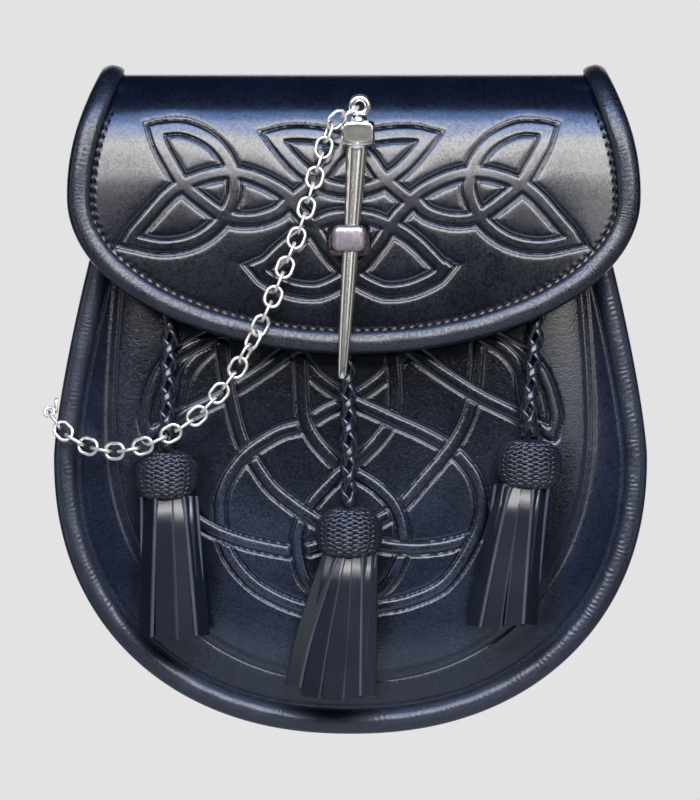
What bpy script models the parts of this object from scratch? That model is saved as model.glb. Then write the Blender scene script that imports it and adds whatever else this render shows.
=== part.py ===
"""Sporran pouch: a leather belt pouch with a rolled flap, three tassels and a pin on a chain.

The pouch hangs upright: +Z is up, the front faces -Y, and the origin is the middle of the
waist strap that the two rear loops carry. Sizes are millimetres, and MM turns them into metres.
"""

import math

import bmesh
import bpy
from mathutils import Vector

MM = 0.001
GAP = 0.3                     # between pieces that touch

# ---- pouch body -------------------------------------------------------------------------
BODY_HALF_WIDTH = 89.1        # at the widest line
WIDEST_Z = -88.8              # height of the widest line
BELLY_DEPTH = 83.4            # from the widest line down to the bottom
BELLY_POWER = 2.2             # superellipse of the round bottom
SIDE_RISE = 55.8              # the sides lean in above the widest line
SIDE_TAPER = 9.9
SIDE_POWER = 1.35
EASE_Z = -21.8                # above this, hidden by the flap, the lean eases off
EASE_HALF_WIDTH = 76.4
EASE_SLOPE = 0.255
EASE_LENGTH = 20.0
MOUTH_Z = 12.0                # top edge of the front panel and of the side wall
OUTLINE_STATIONS = 49         # odd: the middle one is the bottom

PANEL_WALL = 2.4
GUSSET_WALL = 1.8
FRONT_Y_TOP = -27.5           # front face of the panel's rim at z = 18 ...
FRONT_Y_SLOPE = 6.5 / 190.0   # ... and how it comes forward on the way down
BACK_Y = -2.8                 # rear face of the back panel
BACK_TOP_Z = 19.0
BACK_CORNER = 8.0
BACK_STEP = 0.5                # from the end of the back edging up to the corner
BULGE_MOUTH = 3.9             # how far the front panel swells at its mouth
BULGE_BELLY = 7.5             # and at its fullest line
FULLEST_Z = -130.0
RIM_WIDTH = 8.0               # flat rim under the binding
BULGE_RUN = 12.0              # the swelling builds up over this distance
PANEL_INSET = 2.1             # panel edges behind the outer line of the binding
PANEL_LINES = (PANEL_INSET, RIM_WIDTH, 11.0, 15.0, 21.0, 30.0, 42.0)
PANEL_COLUMNS = 4             # across the middle of the front panel
GUSSET_INSET = 3.2

# ---- edging: profiles as (outward, forward) from the outer line and the panel's face ------
FRONT_BINDING = (
    (-8.0, 0.3), (-8.0, 1.0), (-6.6, 2.2), (-4.4, 2.9), (-2.2, 2.6), (-0.5, 1.5), (0.0, 0.0),
    (0.0, -2.4), (-0.3, -4.1), (-2.9, -4.1), (-2.9, -2.7), (-1.8, -2.7), (-1.8, 0.3),
)
BACK_BINDING = (
    (-8.0, 0.3), (-8.0, 0.9), (-6.0, 1.7), (-3.0, 2.0), (-0.6, 1.2), (0.0, 0.0),
    (0.0, -2.4), (-0.3, -4.1), (-2.9, -4.1), (-2.9, -2.7), (-1.8, -2.7), (-1.8, 0.3),
)
FLAP_BINDING = (
    (-5.6, 1.7), (-5.6, 2.2), (-4.2, 3.0), (-2.4, 3.4), (-0.8, 2.7), (0.0, 1.2),
    (0.0, -1.2), (-0.8, -2.5), (-3.0, -2.9), (-5.2, -2.6), (-5.2, -1.7), (-1.1, -1.7),
    (-1.1, 1.7),
)

# ---- flap -------------------------------------------------------------------------------
FLAP_WALL = 2.6
FLAP_SHIFT = 1.0              # the flap sits a little to the right
FLAP_HALF_WIDTH = 85.8
FLAP_WIDEST_Z = -12.0
FLAP_DROP = 46.2              # half ellipse below the widest line
FLAP_TAPER = 0.00767          # half-width lost per square millimetre of height above it
FLAP_EDGE = 1.5               # leather edge behind the binding's outer line
TAIL_HALF_WIDTH = 65.0        # inner tongue, between the side walls
SHOULDER_LOW_Z = 14.0
SHOULDER_HIGH_Z = 19.0
FLAP_BOW = 2.0                # the front of the flap bends back towards its sides
FLAP_SECTION = (              # middle of the leather, from the tongue over the roll: (y, z)
    (-6.9, 3.0), (-6.9, 12.0), (-8.0, 18.0), (-12.2, 22.9), (-19.0, 24.8), (-27.2, 22.9),
    (-34.4, 17.2), (-39.0, 8.6), (-41.4, -3.0), (-42.9, -16.0), (-44.2, -32.0),
    (-45.2, -46.0), (-45.9, -58.6),
)
FLAP_ROWS_ABOVE = 19          # rows from the tongue to the widest line
FLAP_ROWS_BELOW = 11          # rows round the half ellipse
FLAP_COLUMNS = 12
BINDING_START_Z = 23.0        # the flap's edging starts here, behind the roll
POST_HOLE = (12.6, 10.2)      # width and height of the hole for the post
POST_HOLE_RUN = (-60.0, -30.0)          # the hole's cutter, from y to y

# ---- rear strap loops -------------------------------------------------------------------
LOOP_X = 45.0
LOOP_WIDTH = 24.0
LOOP_WALL = 2.2
LOOP_SECTION = (              # middle of the leather: (y, z), the lower half mirrors it
    (-1.4, 17.5), (-1.4, 13.0), (-0.6, 11.2), (1.6, 9.9), (3.3, 8.6), (3.9, 6.6),
)

# ---- post, pin and ring -----------------------------------------------------------------
POST_X = -0.45
POST_Z = -23.7
POST_BLOCK = (10.5, 8.0, 8.2)          # width, depth, height
POST_CORNER = 2.4
POST_STEM = (7.0, 5.0)
POST_STEM_CORNER = 1.2
POST_STEM_SINK = (1.0, 0.5)            # how far the stem runs into the block and the plate
POST_PLATE = (13.0, 1.2, 11.0)
POST_PLATE_CORNER = 2.0
POST_BORE = 5.5
POST_BORE_HALF = 8.0                   # half the length of the bore's cutter
PIN_AT_POST = (0.17, -49.4)            # x and y of the pin's axis at the post's height
PIN_LEAN = (0.0647, -0.0646)           # x and y gained per millimetre of height: (x, -y)
PIN_SECTION = (                        # tapered shank: (z, diameter)
    (4.2, 6.5), (-7.8, 5.7), (-19.2, 5.0), (-28.5, 4.7), (-42.0, 4.3), (-53.7, 3.85),
    (-62.0, 3.1), (-65.2, 2.6), (-65.8, 1.6),
)
PIN_HEAD = (10.2, 8.0, 7.8)
PIN_HEAD_Z = 7.65
PIN_HEAD_BEVEL = 2.0
PIN_NECK_RADIUS = 1.9
PIN_NECK_SIDES = 10
PIN_NECK_RUN = (9.65, 14.4)            # the neck between the head and the eye, from z to z
EYE_Z = 16.0
EYE_RADIUS = 2.4                       # of the wire's middle line
EYE_WIRE = 0.9                         # radius
RING_RADIUS = 2.9
RING_WIRE = 0.55
RING_DROP = math.radians(30.0)         # the ring hangs to the left, this far below level

# ---- chain ------------------------------------------------------------------------------
LINK_LENGTH = 7.3
LINK_WIDTH = 5.7
LINK_WIRE = 0.525                      # radius
LINK_COUNT = 33
LINK_SIDES = 5
LINK_TURNS = 12
CHAIN_ROUTE = (                        # middle line: (x, z, y), from the ring to the anchor
    (-2.5, 13.5, -46.8), (-4.7, 11.9, -47.0), (-6.9, 8.3, -47.3), (-7.9, 3.2, -47.7),
    (-9.5, -1.2, -48.1), (-12.1, -10.5, -48.9), (-15.0, -20.4, -49.8), (-18.5, -29.4, -50.6),
    (-22.1, -38.7, -51.6), (-26.0, -47.6, -52.4), (-30.4, -56.5, -52.8), (-35.1, -64.5, -52.6),
    (-40.7, -71.6, -52.5), (-47.4, -78.1, -52.1), (-54.7, -82.6, -51.4), (-62.6, -86.0, -49.5),
    (-70.9, -87.4, -45.6), (-79.4, -85.7, -40.6), (-85.4, -82.2, -38.3), (-88.7, -78.2, -35.8),
    (-89.9, -76.3, -34.5),
)
CHAIN_TWIST = ((1, 32.0), (3, 0.0), (14, 0.0), (18, 90.0), (33, 90.0))   # (link, degrees)
ANCHOR_PLATE = (0.8, 7.0, 4.4)
ANCHOR_PLATE_Y = -30.7
ANCHOR_PLATE_Z = -73.6
ANCHOR_RADIUS = 1.5
ANCHOR_WIRE = 0.45

# ---- tassels ----------------------------------------------------------------------------
CORD_RADIUS = 2.75
CORD_STEP = 11.0
TASSELS = {
    "left": {
        "cord": (                      # lace from its hole, under the flap, to the cap: (x, y, z)
            (-53.6, -36.9, -31.4), (-53.9, -37.8, -43.0), (-54.3, -39.3, -54.5),
            (-54.8, -42.5, -66.0), (-55.2, -45.2, -77.0), (-55.2, -45.2, -86.6),
        ),
        "cap": (-55.2, -45.2, -94.5),              # middle: x, y, z
        "cap_size": (18.9, 15.0),                  # width, height
        "skirt_top": (-54.4, 15.5),                # x, width
        "skirt_end": (-53.4, -143.4, 22.8),        # x, z, width
    },
    "centre": {
        "cord": (
            (-1.2, -38.9, -40.4), (-1.1, -39.4, -52.0), (-0.9, -40.4, -64.0),
            (-0.7, -42.6, -76.0), (-0.5, -45.6, -86.5), (-0.45, -46.7, -95.0),
            (-0.45, -46.7, -103.6),
        ),
        "cap": (-0.45, -46.7, -111.7),
        "cap_size": (20.4, 15.3),
        "skirt_top": (0.0, 14.0),
        "skirt_end": (-4.5, -161.0, 27.0),
    },
    "right": {
        "cord": (
            (56.4, -36.6, -31.4), (56.0, -37.6, -42.0), (55.3, -39.1, -53.0),
            (54.4, -42.4, -64.0), (53.6, -45.2, -74.5), (53.6, -45.2, -83.3),
        ),
        "cap": (53.6, -45.2, -91.2),
        "cap_size": (19.8, 15.0),
        "skirt_top": (51.3, 13.8),
        "skirt_end": (46.2, -139.8, 21.6),
    },
}
CAP_DEPTH = 14.0
CAP_SECTION = (                        # share of the half height and of the half width
    (1.0, 0.34), (0.84, 0.68), (0.45, 0.95), (0.0, 1.0), (-0.45, 0.96), (-0.84, 0.8),
    (-1.0, 0.62),
)
SKIRT_DEPTH = 8.5
SKIRT_ROWS = 5
ROUND_SIDES = 16


# ---- helpers ----------------------------------------------------------------------------
def clear_scene():
    """Empty the file of its objects."""
    for item in list(bpy.data.objects):
        bpy.data.objects.remove(item, do_unlink=True)


def principled(name, colour, roughness, metallic=0.0):
    """A Principled material with a plain colour."""
    material = bpy.data.materials.new(name)
    material.use_nodes = True
    shader = material.node_tree.nodes["Principled BSDF"]
    shader.inputs["Base Color"].default_value = (*colour, 1.0)
    shader.inputs["Roughness"].default_value = roughness
    shader.inputs["Metallic"].default_value = metallic
    material.diffuse_color = (*colour, 1.0)
    return material


def add_object(name, mesh_builder, finish, closed=True):
    """Turn a bmesh in millimetres into a smooth-shaded object in metres."""
    bmesh.ops.scale(mesh_builder, vec=(MM, MM, MM), verts=mesh_builder.verts)
    if closed:
        bmesh.ops.recalc_face_normals(mesh_builder, faces=mesh_builder.faces)
    mesh = bpy.data.meshes.new(name)
    mesh_builder.to_mesh(mesh)
    mesh_builder.free()
    mesh.shade_smooth()
    mesh.set_sharp_from_angle(angle=math.radians(35.0))
    mesh.materials.append(principled(name, *finish))
    item = bpy.data.objects.new(name, mesh)
    bpy.context.scene.collection.objects.link(item)
    return item


def skin(rings, closed=False):
    """A solid through rings of points; the ends are capped unless the rings form a loop."""
    builder = bmesh.new()
    loops = [[builder.verts.new(point) for point in ring] for ring in rings]
    pairs = list(zip(loops, loops[1:]))
    if closed:
        pairs.append((loops[-1], loops[0]))
    count = len(rings[0])
    for lower, upper in pairs:
        for i in range(count):
            j = (i + 1) % count
            builder.faces.new((lower[i], lower[j], upper[j], upper[i]))
    if not closed:
        builder.faces.new(loops[0][::-1])
        builder.faces.new(loops[-1])
    return builder


def sheet(rows):
    """A surface through rows of points; a last row of one point closes it to a tip."""
    builder = bmesh.new()
    lines = [[builder.verts.new(point) for point in row] for row in rows]
    for upper, lower in zip(lines, lines[1:]):
        for i in range(len(upper) - 1):
            if len(lower) == 1:
                builder.faces.new((upper[i], lower[0], upper[i + 1]))
            else:
                builder.faces.new((upper[i], lower[i], lower[i + 1], upper[i + 1]))
    return builder


def thicken(item, wall, offset):
    """Give a sheet its wall."""
    solidify = item.modifiers.new("wall", "SOLIDIFY")
    solidify.thickness = wall * MM
    solidify.offset = offset
    solidify.use_even_offset = True
    solidify.use_quality_normals = True


def combine(item, other, operation):
    """Add or cut with another object through an exact Boolean; the other is only a guide."""
    boolean = item.modifiers.new(operation.lower(), "BOOLEAN")
    boolean.operation = operation
    boolean.solver = "EXACT"
    boolean.object = other
    other.hide_render = True
    other.display_type = "WIRE"


def smooth_curve(points, steps=12):
    """Points along a Catmull-Rom curve through the given ones."""
    ends = [2 * points[0] - points[1], *points, 2 * points[-1] - points[-2]]
    curve = []
    for a, b, c, d in zip(ends, ends[1:], ends[2:], ends[3:]):
        for i in range(steps):
            t = i / steps
            curve.append(0.5 * (2 * b + (c - a) * t + (2 * a - 5 * b + 4 * c - d) * t ** 2
                                + (3 * b - a - 3 * c + d) * t ** 3))
    return [*curve, points[-1]]


def walk(curve, distances):
    """The points that lie at the given distances along a polyline."""
    travelled = [0.0]
    for a, b in zip(curve, curve[1:]):
        travelled.append(travelled[-1] + (b - a).length)
    found = []
    segment = 0
    for distance in distances:
        while segment < len(curve) - 2 and travelled[segment + 1] < distance:
            segment += 1
        span = travelled[segment + 1] - travelled[segment]
        found.append(curve[segment].lerp(curve[segment + 1],
                                         (distance - travelled[segment]) / span))
    return found


def evenly(curve, count):
    """Resample a polyline into evenly spaced points."""
    total = sum((b - a).length for a, b in zip(curve, curve[1:]))
    return walk(curve, [total * i / (count - 1) for i in range(count)])


# ---- shape of the pouch -----------------------------------------------------------------
def half_width(z):
    """Half-width of the pouch at height z."""
    if z < WIDEST_Z:
        share = min(1.0, (WIDEST_Z - z) / BELLY_DEPTH)
        return BODY_HALF_WIDTH * (1.0 - share ** BELLY_POWER) ** (1.0 / BELLY_POWER)
    if z < EASE_Z:
        return BODY_HALF_WIDTH - SIDE_TAPER * ((z - WIDEST_Z) / SIDE_RISE) ** SIDE_POWER
    eased = 1.0 - math.exp(-(z - EASE_Z) / EASE_LENGTH)
    return EASE_HALF_WIDTH - EASE_SLOPE * EASE_LENGTH * eased


def body_outline():
    """Outer line of the pouch, left mouth corner to right: (point, outward) in the x-z plane."""
    side = [Vector((half_width(z), z)) for z in
            [MOUTH_Z + (WIDEST_Z - MOUTH_Z) * i / 40 for i in range(40)]]
    for i in range(61):
        angle = math.pi / 2 * i / 60
        reach = math.cos(angle) ** (2.0 / BELLY_POWER) if i < 60 else 0.0
        side.append(Vector((BODY_HALF_WIDTH * reach,
                            WIDEST_Z - BELLY_DEPTH * math.sin(angle) ** (2.0 / BELLY_POWER))))
    right = evenly(side, OUTLINE_STATIONS // 2 + 1)
    left = [Vector((-p.x, p.y)) for p in right]
    line = left + right[-2::-1]
    outline = []
    for i, point in enumerate(line):
        along = line[min(i + 1, len(line) - 1)] - line[max(i - 1, 0)]
        outline.append((point, Vector((along.y, -along.x)).normalized()))
    return outline


def rim_y(z):
    """y of the front face of the panel's rim."""
    return FRONT_Y_TOP - FRONT_Y_SLOPE * (18.0 - z)


def front_y(x, z):
    """y of the front face of the domed front panel."""
    point = Vector((x, z))
    line = [p for p, _ in OUTLINE]
    inside = min((point - nearest_on(a, b, point)).length for a, b in zip(line, line[1:]))
    rise = min(1.0, max(0.0, (z - FULLEST_Z) / (MOUTH_Z - FULLEST_Z)))
    bulge = BULGE_BELLY - (BULGE_BELLY - BULGE_MOUTH) * rise ** 2
    return rim_y(z) - bulge * (1.0 - math.exp(-max(0.0, inside - RIM_WIDTH) / BULGE_RUN))


def nearest_on(a, b, point):
    """The point of the segment a-b that is nearest."""
    along = b - a
    share = max(0.0, min(1.0, (point - a).dot(along) / along.length_squared))
    return a + along * share


OUTLINE = body_outline()


def edging(name, profile, face_y, forward, finish):
    """A channel of rolled leather swept round the pouch's outer line."""
    rings = []
    for point, outward in OUTLINE:
        places = [(point + outward * n, f) for n, f in profile]
        rings.append([(p.x, face_y(p.y) + forward * f, p.y) for p, f in places])
    return add_object(name, skin(rings), finish)


def domed_panel():
    """The front face of the panel: strips that follow the outline, and rows across the middle."""
    builder = bmesh.new()
    lines = []
    for point, outward in OUTLINE:
        places = [point - outward * inset for inset in PANEL_LINES]
        lines.append([builder.verts.new((p.x, front_y(p.x, p.y), p.y)) for p in places])
    for left, right in zip(lines, lines[1:]):
        for k in range(len(PANEL_LINES) - 1):
            builder.faces.new((left[k], right[k], right[k + 1], left[k + 1]))
    half = OUTLINE_STATIONS // 2
    upper = None
    for i in range(half):
        left, right = lines[i][-1], lines[-1 - i][-1]
        row = [left]
        for k in range(1, PANEL_COLUMNS):
            place = left.co.lerp(right.co, k / PANEL_COLUMNS)
            place.y = front_y(place.x, place.z)
            row.append(builder.verts.new(place))
        row.append(right)
        if upper:
            for k in range(PANEL_COLUMNS):
                builder.faces.new((upper[k], row[k], row[k + 1], upper[k + 1]))
        upper = row
    for k in range(PANEL_COLUMNS):
        builder.faces.new((upper[k], lines[half][-1], upper[k + 1]))
    return builder


# ---- leather pieces ---------------------------------------------------------------------
LEATHER = ((0.035, 0.040, 0.055), 0.42)
EDGE_LEATHER = ((0.040, 0.042, 0.050), 0.5)
LACE = ((0.045, 0.050, 0.062), 0.4)
SILVER = ((0.86, 0.86, 0.88), 0.16, 1.0)
PEWTER = ((0.62, 0.58, 0.58), 0.38, 1.0)


def build_body():
    """Front panel, side wall, back panel and their edgings."""
    front = add_object("front_panel", domed_panel(), LEATHER, False)
    thicken(front, PANEL_WALL, -1.0)
    rings = []
    back_edge = BACK_Y - PANEL_WALL - GAP
    for point, outward in OUTLINE:
        inner, outer = (point - outward * n for n in (GUSSET_INSET + GUSSET_WALL, GUSSET_INSET))
        rings.append([(inner.x, rim_y(inner.y) + PANEL_WALL + GAP, inner.y),
                      (outer.x, rim_y(outer.y) + PANEL_WALL + GAP, outer.y),
                      (outer.x, back_edge, outer.y), (inner.x, back_edge, inner.y)])
    add_object("gusset", skin(rings), LEATHER)
    build_back()
    edging("front_binding", FRONT_BINDING, rim_y, -1.0, EDGE_LEATHER)
    edging("back_binding", BACK_BINDING, lambda z: BACK_Y, 1.0, EDGE_LEATHER)


def build_back():
    """Flat back panel: the pouch's outline with a raised, round-cornered top."""
    outline = [point - outward * PANEL_INSET for point, outward in OUTLINE]
    top_half = half_width(BACK_TOP_Z) - PANEL_INSET
    corner = []
    for i in range(5):
        angle = math.pi / 2 * i / 4
        corner.append(Vector((top_half - BACK_CORNER * (1.0 - math.cos(angle)),
                              BACK_TOP_Z - BACK_CORNER * (1.0 - math.sin(angle)))))
    corner[0].y = MOUTH_Z + BACK_STEP
    line = outline + corner + [Vector((-p.x, p.y)) for p in reversed(corner)]
    ring = [(p.x, BACK_Y, p.y) for p in line]
    front = [(p.x, BACK_Y - PANEL_WALL, p.y) for p in line]
    add_object("back_panel", skin([ring, front]), LEATHER)


# ---- flap -------------------------------------------------------------------------------
FLAP_CURVE = smooth_curve([Vector((0.0, y, z)) for y, z in FLAP_SECTION])
FLAP_ROLL = max(range(len(FLAP_CURVE)), key=lambda i: FLAP_CURVE[i].z)


def flap_half_width(point, behind):
    """Half-width of the flap's outer line above its widest height."""
    top = FLAP_HALF_WIDTH - FLAP_TAPER * (point.z - FLAP_WIDEST_Z) ** 2
    if not behind:
        return top
    share = (point.z - SHOULDER_LOW_Z) / (SHOULDER_HIGH_Z - SHOULDER_LOW_Z)
    share = min(1.0, max(0.0, share))
    return TAIL_HALF_WIDTH + (top - TAIL_HALF_WIDTH) * share ** 2 * (3.0 - 2.0 * share)


def flap_at_height(z):
    """The point of the flap's front at height z."""
    for a, b in zip(FLAP_CURVE[FLAP_ROLL:], FLAP_CURVE[FLAP_ROLL + 1:]):
        if a.z >= z >= b.z:
            return a.lerp(b, (a.z - z) / (a.z - b.z))
    return FLAP_CURVE[-1].copy()


def flap_stations(inset):
    """Section points and half-widths of a line inside the flap's outer one."""
    widest = next(i for i in range(FLAP_ROLL, len(FLAP_CURVE))
                  if FLAP_CURVE[i].z < FLAP_WIDEST_Z)
    upper = [*FLAP_CURVE[:widest], flap_at_height(FLAP_WIDEST_Z)]
    stations = []
    for point in evenly(upper, FLAP_ROWS_ABOVE):
        behind = point.y > FLAP_CURVE[FLAP_ROLL].y
        stations.append((point, flap_half_width(point, behind) - inset))
    for i in range(1, FLAP_ROWS_BELOW + 1):
        angle = math.pi / 2 * i / FLAP_ROWS_BELOW
        point = flap_at_height(FLAP_WIDEST_Z - (FLAP_DROP - inset) * math.sin(angle))
        stations.append((point, (FLAP_HALF_WIDTH - inset) * math.cos(angle)))
    return stations


def bowed(x, point):
    """Place a point of the flap's section at x, with the bend towards the sides."""
    front = min(1.0, max(0.0, (FLAP_CURVE[FLAP_ROLL].y - point.y) / 15.0))
    bow = FLAP_BOW * front * (x / FLAP_HALF_WIDTH) ** 2
    return Vector((x + FLAP_SHIFT, point.y + bow, point.z))


def build_flap():
    """The flap with its hole for the post, and its edging."""
    rows = []
    *stations, (tip, _) = flap_stations(FLAP_EDGE)
    for point, reach in stations:
        rows.append([bowed(reach * (2 * k / FLAP_COLUMNS - 1), point)
                     for k in range(FLAP_COLUMNS + 1)])
    rows.append([bowed(0.0, tip)])
    flap = add_object("flap", sheet(rows), LEATHER, False)
    thicken(flap, FLAP_WALL, 0.0)
    hole = post_prism(POST_HOLE[0], POST_HOLE[1], POST_CORNER, *POST_HOLE_RUN)
    combine(flap, add_object("flap_hole", hole, SILVER), "DIFFERENCE")
    build_flap_binding()


def build_flap_binding():
    """Rolled edging from behind the roll, down one side, round the bottom and up again."""
    stations = flap_stations(0.0)
    start = next(i for i, (p, _) in enumerate(stations) if p.z > BINDING_START_Z)
    kept = stations[start - 1:]
    right = [bowed(half, point) for point, half in kept[:-1]]
    mirrored = [Vector((2 * FLAP_SHIFT - p.x, p.y, p.z)) for p in right]
    line = right + [bowed(0.0, kept[-1][0])] + mirrored[::-1]
    slopes = [section_slope(p) for p, _ in kept]
    slopes = slopes + slopes[-2::-1]
    rings = []
    for i in range(1, len(line) - 1):
        point = line[i]
        along = (line[i + 1] - line[i - 1]).normalized()
        facing = slopes[i] - along * slopes[i].dot(along)
        facing.normalize()
        outward = facing.cross(along)
        rings.append([point + outward * n + facing * f for n, f in FLAP_BINDING])
    add_object("flap_binding", skin(rings), EDGE_LEATHER)


def section_slope(point):
    """Outward normal of the flap's section at a point."""
    i = min(range(len(FLAP_CURVE)), key=lambda k: (FLAP_CURVE[k] - point).length)
    along = FLAP_CURVE[min(i + 1, len(FLAP_CURVE) - 1)] - FLAP_CURVE[max(i - 1, 0)]
    return Vector((0.0, along.z, -along.y)).normalized()


# ---- strap loops ------------------------------------------------------------------------
def build_strap_loop(side, centre_x):
    """A bridge of leather on the back; the waist strap runs through it along x."""
    upper = [Vector((y, z)) for y, z in LOOP_SECTION]
    line = upper + [Vector((p.x, -p.y)) for p in reversed(upper)]
    outer, inner = [], []
    for i, point in enumerate(line):
        along = (line[min(i + 1, len(line) - 1)] - line[max(i - 1, 0)]).normalized()
        normal = Vector((-along.y, along.x))
        outer.append(point + normal * LOOP_WALL / 2)
        inner.append(point - normal * LOOP_WALL / 2)
    section = outer + inner[::-1]
    ends = [centre_x - LOOP_WIDTH / 2, centre_x + LOOP_WIDTH / 2]
    rings = [[(x, p.x, p.y) for p in section] for x in ends]
    add_object(f"strap_loop_{side}", skin(rings), LEATHER)


# ---- post, pin and ring -----------------------------------------------------------------
def rounded_box(width, height, corner):
    """Outline of a box with round corners, centred: (x, z) points."""
    points = []
    for quarter in range(4):
        cx = (width / 2 - corner) * (1 if quarter in (0, 3) else -1)
        cz = (height / 2 - corner) * (1 if quarter in (0, 1) else -1)
        for i in range(4):
            angle = math.pi / 2 * (quarter + i / 3)
            points.append((cx + corner * math.cos(angle), cz + corner * math.sin(angle)))
    return points


def post_prism(width, height, corner, y_front, y_back):
    """A rounded box about the post's axis between two depths."""
    outline = rounded_box(width, height, corner)
    return skin([[(POST_X + x, y, POST_Z + z) for x, z in outline] for y in (y_front, y_back)])


def pin_axis(z):
    """Point of the pin's axis at height z."""
    rise = z - POST_Z
    return Vector((PIN_AT_POST[0] + PIN_LEAN[0] * rise, PIN_AT_POST[1] - PIN_LEAN[1] * rise, z))


def pin_section(z, radius, sides):
    """A level ring of points round the pin's axis."""
    middle = pin_axis(z)
    return [middle + Vector((radius * math.cos(2 * math.pi * i / sides),
                             radius * math.sin(2 * math.pi * i / sides), 0.0))
            for i in range(sides)]


def build_post():
    """Riveted plate, stem and bored block, in one piece of metal."""
    plate_y = front_y(POST_X, POST_Z - POST_PLATE[2] / 2) - GAP
    block_back = PIN_AT_POST[1] + POST_BLOCK[1] / 2
    block_front = PIN_AT_POST[1] - POST_BLOCK[1] / 2
    post = add_object("closure_post", post_prism(POST_BLOCK[0], POST_BLOCK[2], POST_CORNER,
                                                 block_front, block_back), PEWTER)
    stem = post_prism(*POST_STEM, POST_STEM_CORNER, block_back - POST_STEM_SINK[0],
                      plate_y - POST_STEM_SINK[1])
    combine(post, add_object("post_stem", stem, PEWTER), "UNION")
    plate = post_prism(POST_PLATE[0], POST_PLATE[2], POST_PLATE_CORNER,
                       plate_y - POST_PLATE[1], plate_y)
    combine(post, add_object("post_plate", plate, PEWTER), "UNION")
    heights = (POST_Z - POST_BORE_HALF, POST_Z + POST_BORE_HALF)
    bore = skin([pin_section(z, POST_BORE / 2, ROUND_SIDES) for z in heights])
    combine(post, add_object("post_bore", bore, PEWTER), "DIFFERENCE")


def torus(centre, radius, wire, across, up, turns=ROUND_SIDES, sides=6, stretch=0.0):
    """A ring of wire in the plane of two directions; stretch parts its two ends."""
    normal = across.cross(up)
    rings = []
    for i in range(turns):
        angle = 2 * math.pi * (i + 0.5) / turns
        outward = across * math.cos(angle) + up * math.sin(angle)
        shift = up * stretch * (1 if math.sin(angle) > 0 else -1)
        middle = centre + outward * radius + shift
        rings.append([middle + wire * (outward * math.cos(2 * math.pi * k / sides)
                                       + normal * math.sin(2 * math.pi * k / sides))
                      for k in range(sides)])
    return skin(rings, closed=True)


def build_pin():
    """Tapered shank, bevelled block head and eye, in one piece of metal."""
    rings = [pin_section(z, diameter / 2, ROUND_SIDES) for z, diameter in PIN_SECTION]
    pin = add_object("pin", skin(rings), SILVER)
    head = bmesh.new()
    bmesh.ops.create_cube(head, size=1.0)
    bmesh.ops.scale(head, vec=PIN_HEAD, verts=head.verts)
    bmesh.ops.translate(head, vec=pin_axis(PIN_HEAD_Z), verts=head.verts)
    bmesh.ops.bevel(head, geom=head.edges, offset=PIN_HEAD_BEVEL, segments=1, affect="EDGES")
    combine(pin, add_object("pin_head", head, SILVER), "UNION")
    neck = skin([pin_section(z, PIN_NECK_RADIUS, PIN_NECK_SIDES) for z in PIN_NECK_RUN])
    combine(pin, add_object("pin_neck", neck, SILVER), "UNION")
    eye = torus(pin_axis(EYE_Z), EYE_RADIUS, EYE_WIRE, Vector((1.0, 0.0, 0.0)),
                Vector((0.0, 0.0, 1.0)), turns=14)
    combine(pin, add_object("pin_eye", eye, SILVER), "UNION")


def build_ring():
    """Jump ring through the pin's eye, pulled down to the left by the chain."""
    pull = Vector((-math.cos(RING_DROP), 0.0, -math.sin(RING_DROP)))
    reach = EYE_RADIUS + RING_RADIUS - RING_WIRE - EYE_WIRE - GAP
    ring = torus(pin_axis(EYE_Z) + pull * reach, RING_RADIUS, RING_WIRE, pull,
                 Vector((0.0, 1.0, 0.0)), turns=14)
    add_object("jump_ring", ring, SILVER)


# ---- chain ------------------------------------------------------------------------------
def twist_of(number):
    """Extra turn of a link about the chain's line, in degrees."""
    for (low, a), (high, b) in zip(CHAIN_TWIST, CHAIN_TWIST[1:]):
        if low <= number <= high:
            return a + (b - a) * (number - low) / (high - low)
    return 0.0


def chain_frames():
    """Middle, direction and side of each link along the chain's route."""
    curve = smooth_curve([Vector((x, y, z)) for x, z, y in CHAIN_ROUTE])
    ends = evenly(curve, LINK_COUNT + 1)
    frames = []
    for number, (a, b) in enumerate(zip(ends, ends[1:]), start=1):
        along = (b - a).normalized()
        side = along.cross(Vector((0.0, -1.0, 0.0))).normalized()
        away = side.cross(along)
        turn = math.radians(90.0 * ((number + 1) % 2) + twist_of(number))
        frames.append(((a + b) / 2, along, side * math.cos(turn) + away * math.sin(turn)))
    return frames


def build_chain():
    """Oval links, each turned a quarter from the last."""
    radius = LINK_WIDTH / 2 - LINK_WIRE
    stretch = (LINK_LENGTH - LINK_WIDTH) / 2
    for number, (middle, along, side) in enumerate(chain_frames(), start=1):
        link = torus(middle, radius, LINK_WIRE, side, along, turns=LINK_TURNS,
                     sides=LINK_SIDES, stretch=stretch)
        add_object(f"chain_link_{number:02d}", link, SILVER)


def build_anchor():
    """Plate on the side of the front edging, with the loop that holds the chain's last link."""
    middle, along, side = chain_frames()[-1]
    hook = LINK_LENGTH / 2 - 2 * LINK_WIRE - GAP - ANCHOR_WIRE
    centre = middle + along * (hook + ANCHOR_RADIUS)
    beside = half_width(ANCHOR_PLATE_Z - ANCHOR_PLATE[2] / 2) + GAP + ANCHOR_PLATE[0] / 2
    plate = bmesh.new()
    bmesh.ops.create_cube(plate, size=1.0)
    bmesh.ops.scale(plate, vec=ANCHOR_PLATE, verts=plate.verts)
    bmesh.ops.translate(plate, vec=(-beside, ANCHOR_PLATE_Y, ANCHOR_PLATE_Z), verts=plate.verts)
    anchor = add_object("chain_anchor", plate, SILVER)
    loop = torus(centre, ANCHOR_RADIUS, ANCHOR_WIRE, along.cross(side), along, turns=14)
    combine(anchor, add_object("anchor_loop", loop, SILVER), "UNION")


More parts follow.
